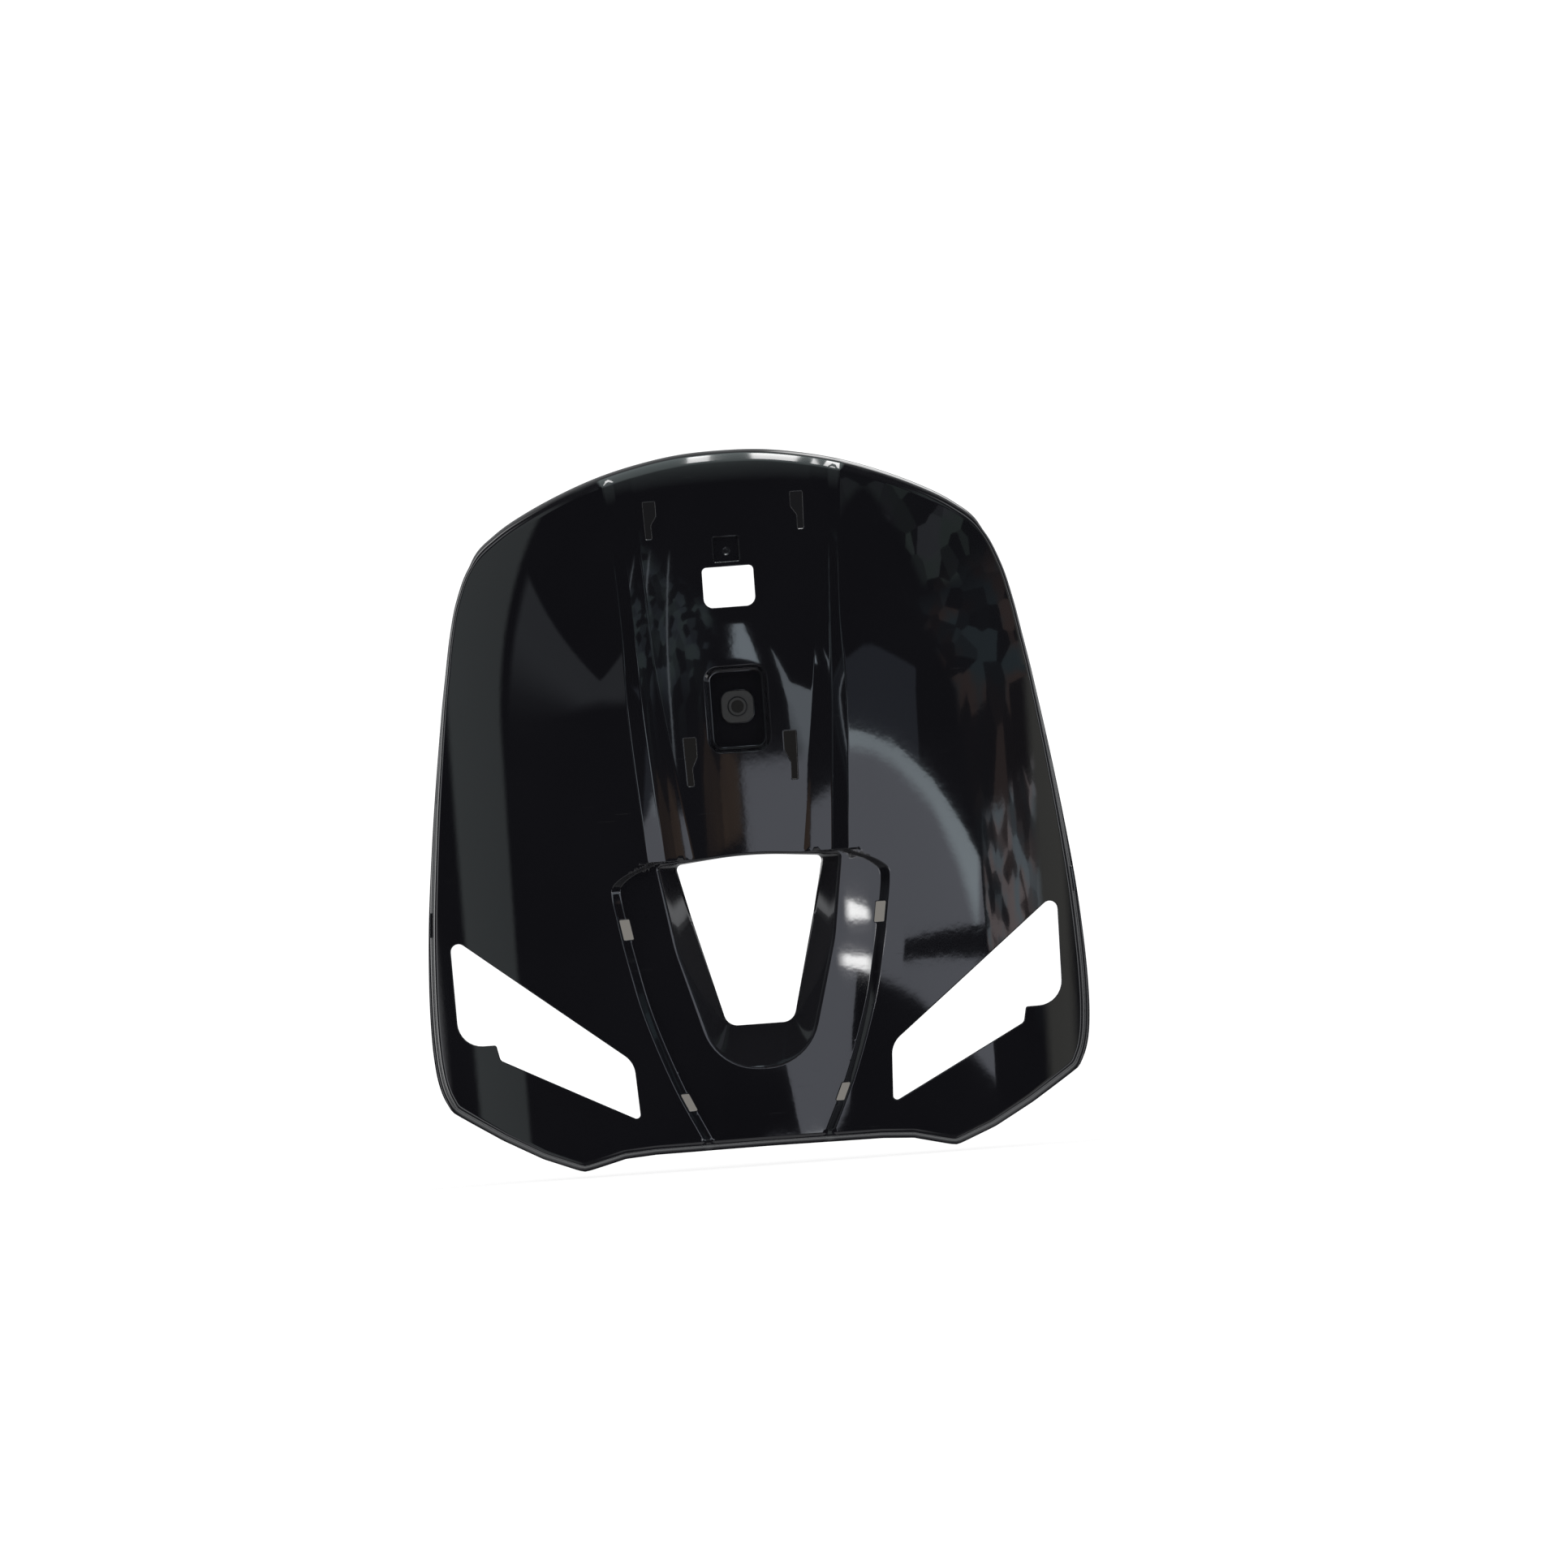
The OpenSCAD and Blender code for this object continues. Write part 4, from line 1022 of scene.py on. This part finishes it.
def camera():
    """A long lens straight in front, turned a little about its own axis."""
    cam = bpy.data.cameras.new("camera")
    cam.sensor_width = 36
    cam.lens = 36 * CAMERA_FAR / VIEW_W
    cam.clip_end = 100
    cam.dof.use_dof = False
    obj = bpy.data.objects.new("camera", cam)
    bpy.context.scene.collection.objects.link(obj)
    obj.matrix_world = (Matrix.Translation((CAMERA_X, -CAMERA_FAR, CAMERA_Z))
                        @ Matrix.Rotation(math.radians(90), 4, "X")
                        @ Matrix.Rotation(math.radians(-ROLL), 4, "Z"))
    bpy.context.scene.camera = obj


panel = build_mesh([build_body()] + backing(), "front_fairing_panel_moulding")
panel.data.materials.append(gloss_black())
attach(panel, "root")
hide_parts("front_fairing_panel")

floor(FLOOR_LEVEL)
studio()
camera()
# Painted shade: glowing sheets behind the clip slots, the slots, the bore and the upper slots stand
# in for the shade seen through them
painted_shade_sheet("clip_painted_shade", both_sides(CLIP_LINES), (0.2, 0.19, 0.175))
painted_shade_sheet("slot_painted_shade", both_sides([SLOT_LINE]), (0.012, 0.0115, 0.0115))
painted_shade_sheet("bore_painted_shade", [circle_line(SCREW_R)], (0.012, 0.012, 0.012), 12)
painted_shade_sheet("upper_slot_painted_shade", both_sides([UPPER_SLOT_LINE]), (0.01, 0.01, 0.011))

# What the gloss mirrors: screens in front, at the sides and behind by azimuth and elevation,
# then lights overhead
screen("right_screen",
       [(-0.2, -26.5), (12, -26.5), (21, -23), (25, -14.5), (50, -14.5), (64, -15), (80, -15)],
       [(-0.2, -3), (14, -2.8), (31, 0.1), (48.5, -0.9), (63, -2.4), (73, -4.1), (79, -5.4)],
       (0.84, 0.88, 1.0), 1.25, 0.003, 0.06, 0.03)
screen("warm_shape", [(-8, -7.6), (-0.2, -6.6)], [(-7.6, -1.4), (-2.6, -1.4), (-0.2, -2.2)],
       (1.0, 0.66, 0.4), 0.42, 0.03, 0.05, 0.05, clutter=(6, 6, 2.4), second=(0.6, 0.4, 0.28))
screen("dark_shape", [(-10.5, -25.2), (5.6, -25.2)], [(-7.5, -19.8), (-2, -19.6), (3, -20.2)],
       (0.0, 0.0, 0.0), 0.0, 0.02, 0.03, 0.05, far=2.9)
screen("low_streak", [(5.8, -25.9), (12, -25.9)], [(5.8, -25.0), (12, -24.6)],
       (0.9, 0.95, 1.0), 3.0, 0.1, 0.2, 0.2, far=2.88)
screen("right_speckle", [(79, -9.5), (99, -9)], [(80, -3.4), (99, -0.6)], (0.95, 0.8, 0.8), 1.1,
       0.05, 0.1, 0.1, far=2.97, clutter=(9, 9, 20), second=(0.7, 0.85, 0.95))
screen("upper_haze", [(67, 23), (100, 18)], [(60, 60), (104, 50)], (0.6, 0.8, 0.72), 0.3,
       0.1, 0.1, 0.1, clutter=(3.4, 3.4, 3.4), second=(0.75, 0.8, 0.9))
screen("right_peak", [(10.5, -4.2), (15, -4.2), (24, -4.2)], [(6.4, 16.5), (11, 4.6), (24, -0.8)],
       (0.80, 0.90, 1.0), 1.5, 0.02, 0.2, 0.03, far=2.97)
screen("upper_patch", [(-0.2, 13.4), (3.8, 10.8)], [(0.0, 25.0), (1.2, 25.0)],
       (0.78, 0.9, 1.0), 2.4, 0.04, 0.04, 0.04)
screen("right_band", [(29, -0.8), (48, -2.4), (62, -4.2), (70, -6.6), (77, -10)],
       [(29, 0.0), (48.5, -0.9), (63, -2.4), (73, -4.0), (79.5, -5.3)],
       (0.80, 0.92, 1.0), 2.7, 0.06, 0.5, 0.08, far=2.95)
screen("dim_sheet", [(27, -0.6), (48, -1.4), (58, -3)], [(25, 9), (42, 16), (60, 7)],
       (0.7, 0.8, 1.0), 0.2, 0.02, 0.05, 0.1, far=3.02)
screen("right_bar", [(45.5, -12.7), (80, -9.6)], [(47, -11.3), (80, -8.0)],
       (0.0, 0.0, 0.0), 0.0, 0.02, 0.06, 0.06, far=2.9)
screen("right_haze", [(80, -9), (108, -12)], [(56, 26), (100, 26)], (0.55, 0.8, 0.9), 0.22,
       0.1, 0.2, 0.3, clutter=(3, 3, 4.5), second=(1.0, 0.7, 0.6))
screen("upper_lamp", [(23, -11.5), (35, -11.0)], [(23.5, -9.7), (35, -10.2)],
       (1.0, 1.0, 1.0), 16.0, 0.3, 0.3, 0.3, far=2.85)
screen("lower_lamp", [(19.5, -14.3), (35, -14.2)], [(19.5, -13.3), (35, -12.9)],
       (1.0, 1.0, 1.0), 16.0, 0.3, 0.3, 0.3, far=2.85)
screen("left_sheet", [(-79, 0), (-36, 3)], [(-75, 34.5), (-39, 9.2), (-33, 9.8)],
       (0.85, 0.92, 1.0), 0.24, 0.04, 0.6, 0.05)
screen("left_haze", [(-26, -6), (-3, -2)], [(-32, 58), (-1, 34)],
       (0.7, 0.95, 0.95), 0.34, 0.1, 0.3, 0.2, clutter=(11, 11, 1.8), second=(0.6, 0.75, 0.9))
screen("crest_strip_a", [(-15.4, -7), (-14.6, -7)], [(-15.4, 50), (-14.6, 50)], (0.8, 0.9, 1.0), 1.2,
       0.3, 0.1, 0.1, far=2.9)
screen("crest_strip_b", [(-23.4, -7), (-22.4, -7)], [(-23.4, 50), (-22.4, 50)], (0.8, 0.9, 1.0), 1.2,
       0.3, 0.1, 0.1, far=2.9)
screen("left_strip", [(-99, -50), (-86, -50)], [(-99, 60), (-74, 60)],
       (0.85, 0.95, 0.95), 0.36, 0.1, 0.1, 0.1)
screen("left_rim", [(-116, -50), (-105, -50)], [(-116, 50), (-105, 50)],
       (0.95, 0.97, 1.0), 0.9, 0.3, 0.1, 0.1)
screen("right_side", [(96, -60), (107, -60)], [(96, 30), (107, 30)],
       (1.0, 1.0, 0.9), 0.3, 0.3, 0.1, 0.1)
screen("right_rim", [(109, -60), (118, -60)], [(109, 50), (118, 50)],
       (0.95, 0.97, 1.0), 0.9, 0.3, 0.1, 0.1)
screen("back_screen", [(125, -50), (235, -50)], [(125, 62), (235, 62)], (0.96, 0.98, 1.0), 0.3,
       0.2, 0.2, 0.2)
screen("back_lamp", [(150, 20), (175, 20)], [(150, 50), (175, 50)], (1.0, 1.0, 1.0), 2.2,
       0.2, 0.2, 0.2, far=2.9)
screen("back_strip", [(222, -20), (232, -20)], [(222, 50), (232, 50)], (1.0, 1.0, 1.0), 1.6,
       0.2, 0.2, 0.2, far=2.9)
screen("under_screen", [(-70, -100), (70, -100)], [(-60, -36), (60, -36)], (0.97, 0.98, 1.0), 0.45,
       0.1, 0.1, 0.1)
screen("top_left_light", [(-0.2, -0.3), (-0.03, -0.3)], [(-0.2, 1.6), (-0.03, 1.6)],
       (1.0, 1.0, 1.0), 9.0, 0.1, 0.05, 0.05, place=overhead)
screen("top_right_light", [(0.16, -0.3), (0.66, -0.3)], [(0.16, 1.6), (0.66, 1.6)],
       (1.0, 1.0, 1.0), 9.0, 0.1, 0.05, 0.05, place=overhead)
screen("ceiling", [(-1.6, -1.2), (1.6, -1.2)], [(-1.6, 2.4), (1.6, 2.4)], (0.85, 1.0, 1.0), 0.9,
       0.2, 0.2, 0.2, place=overhead, far=3.1)
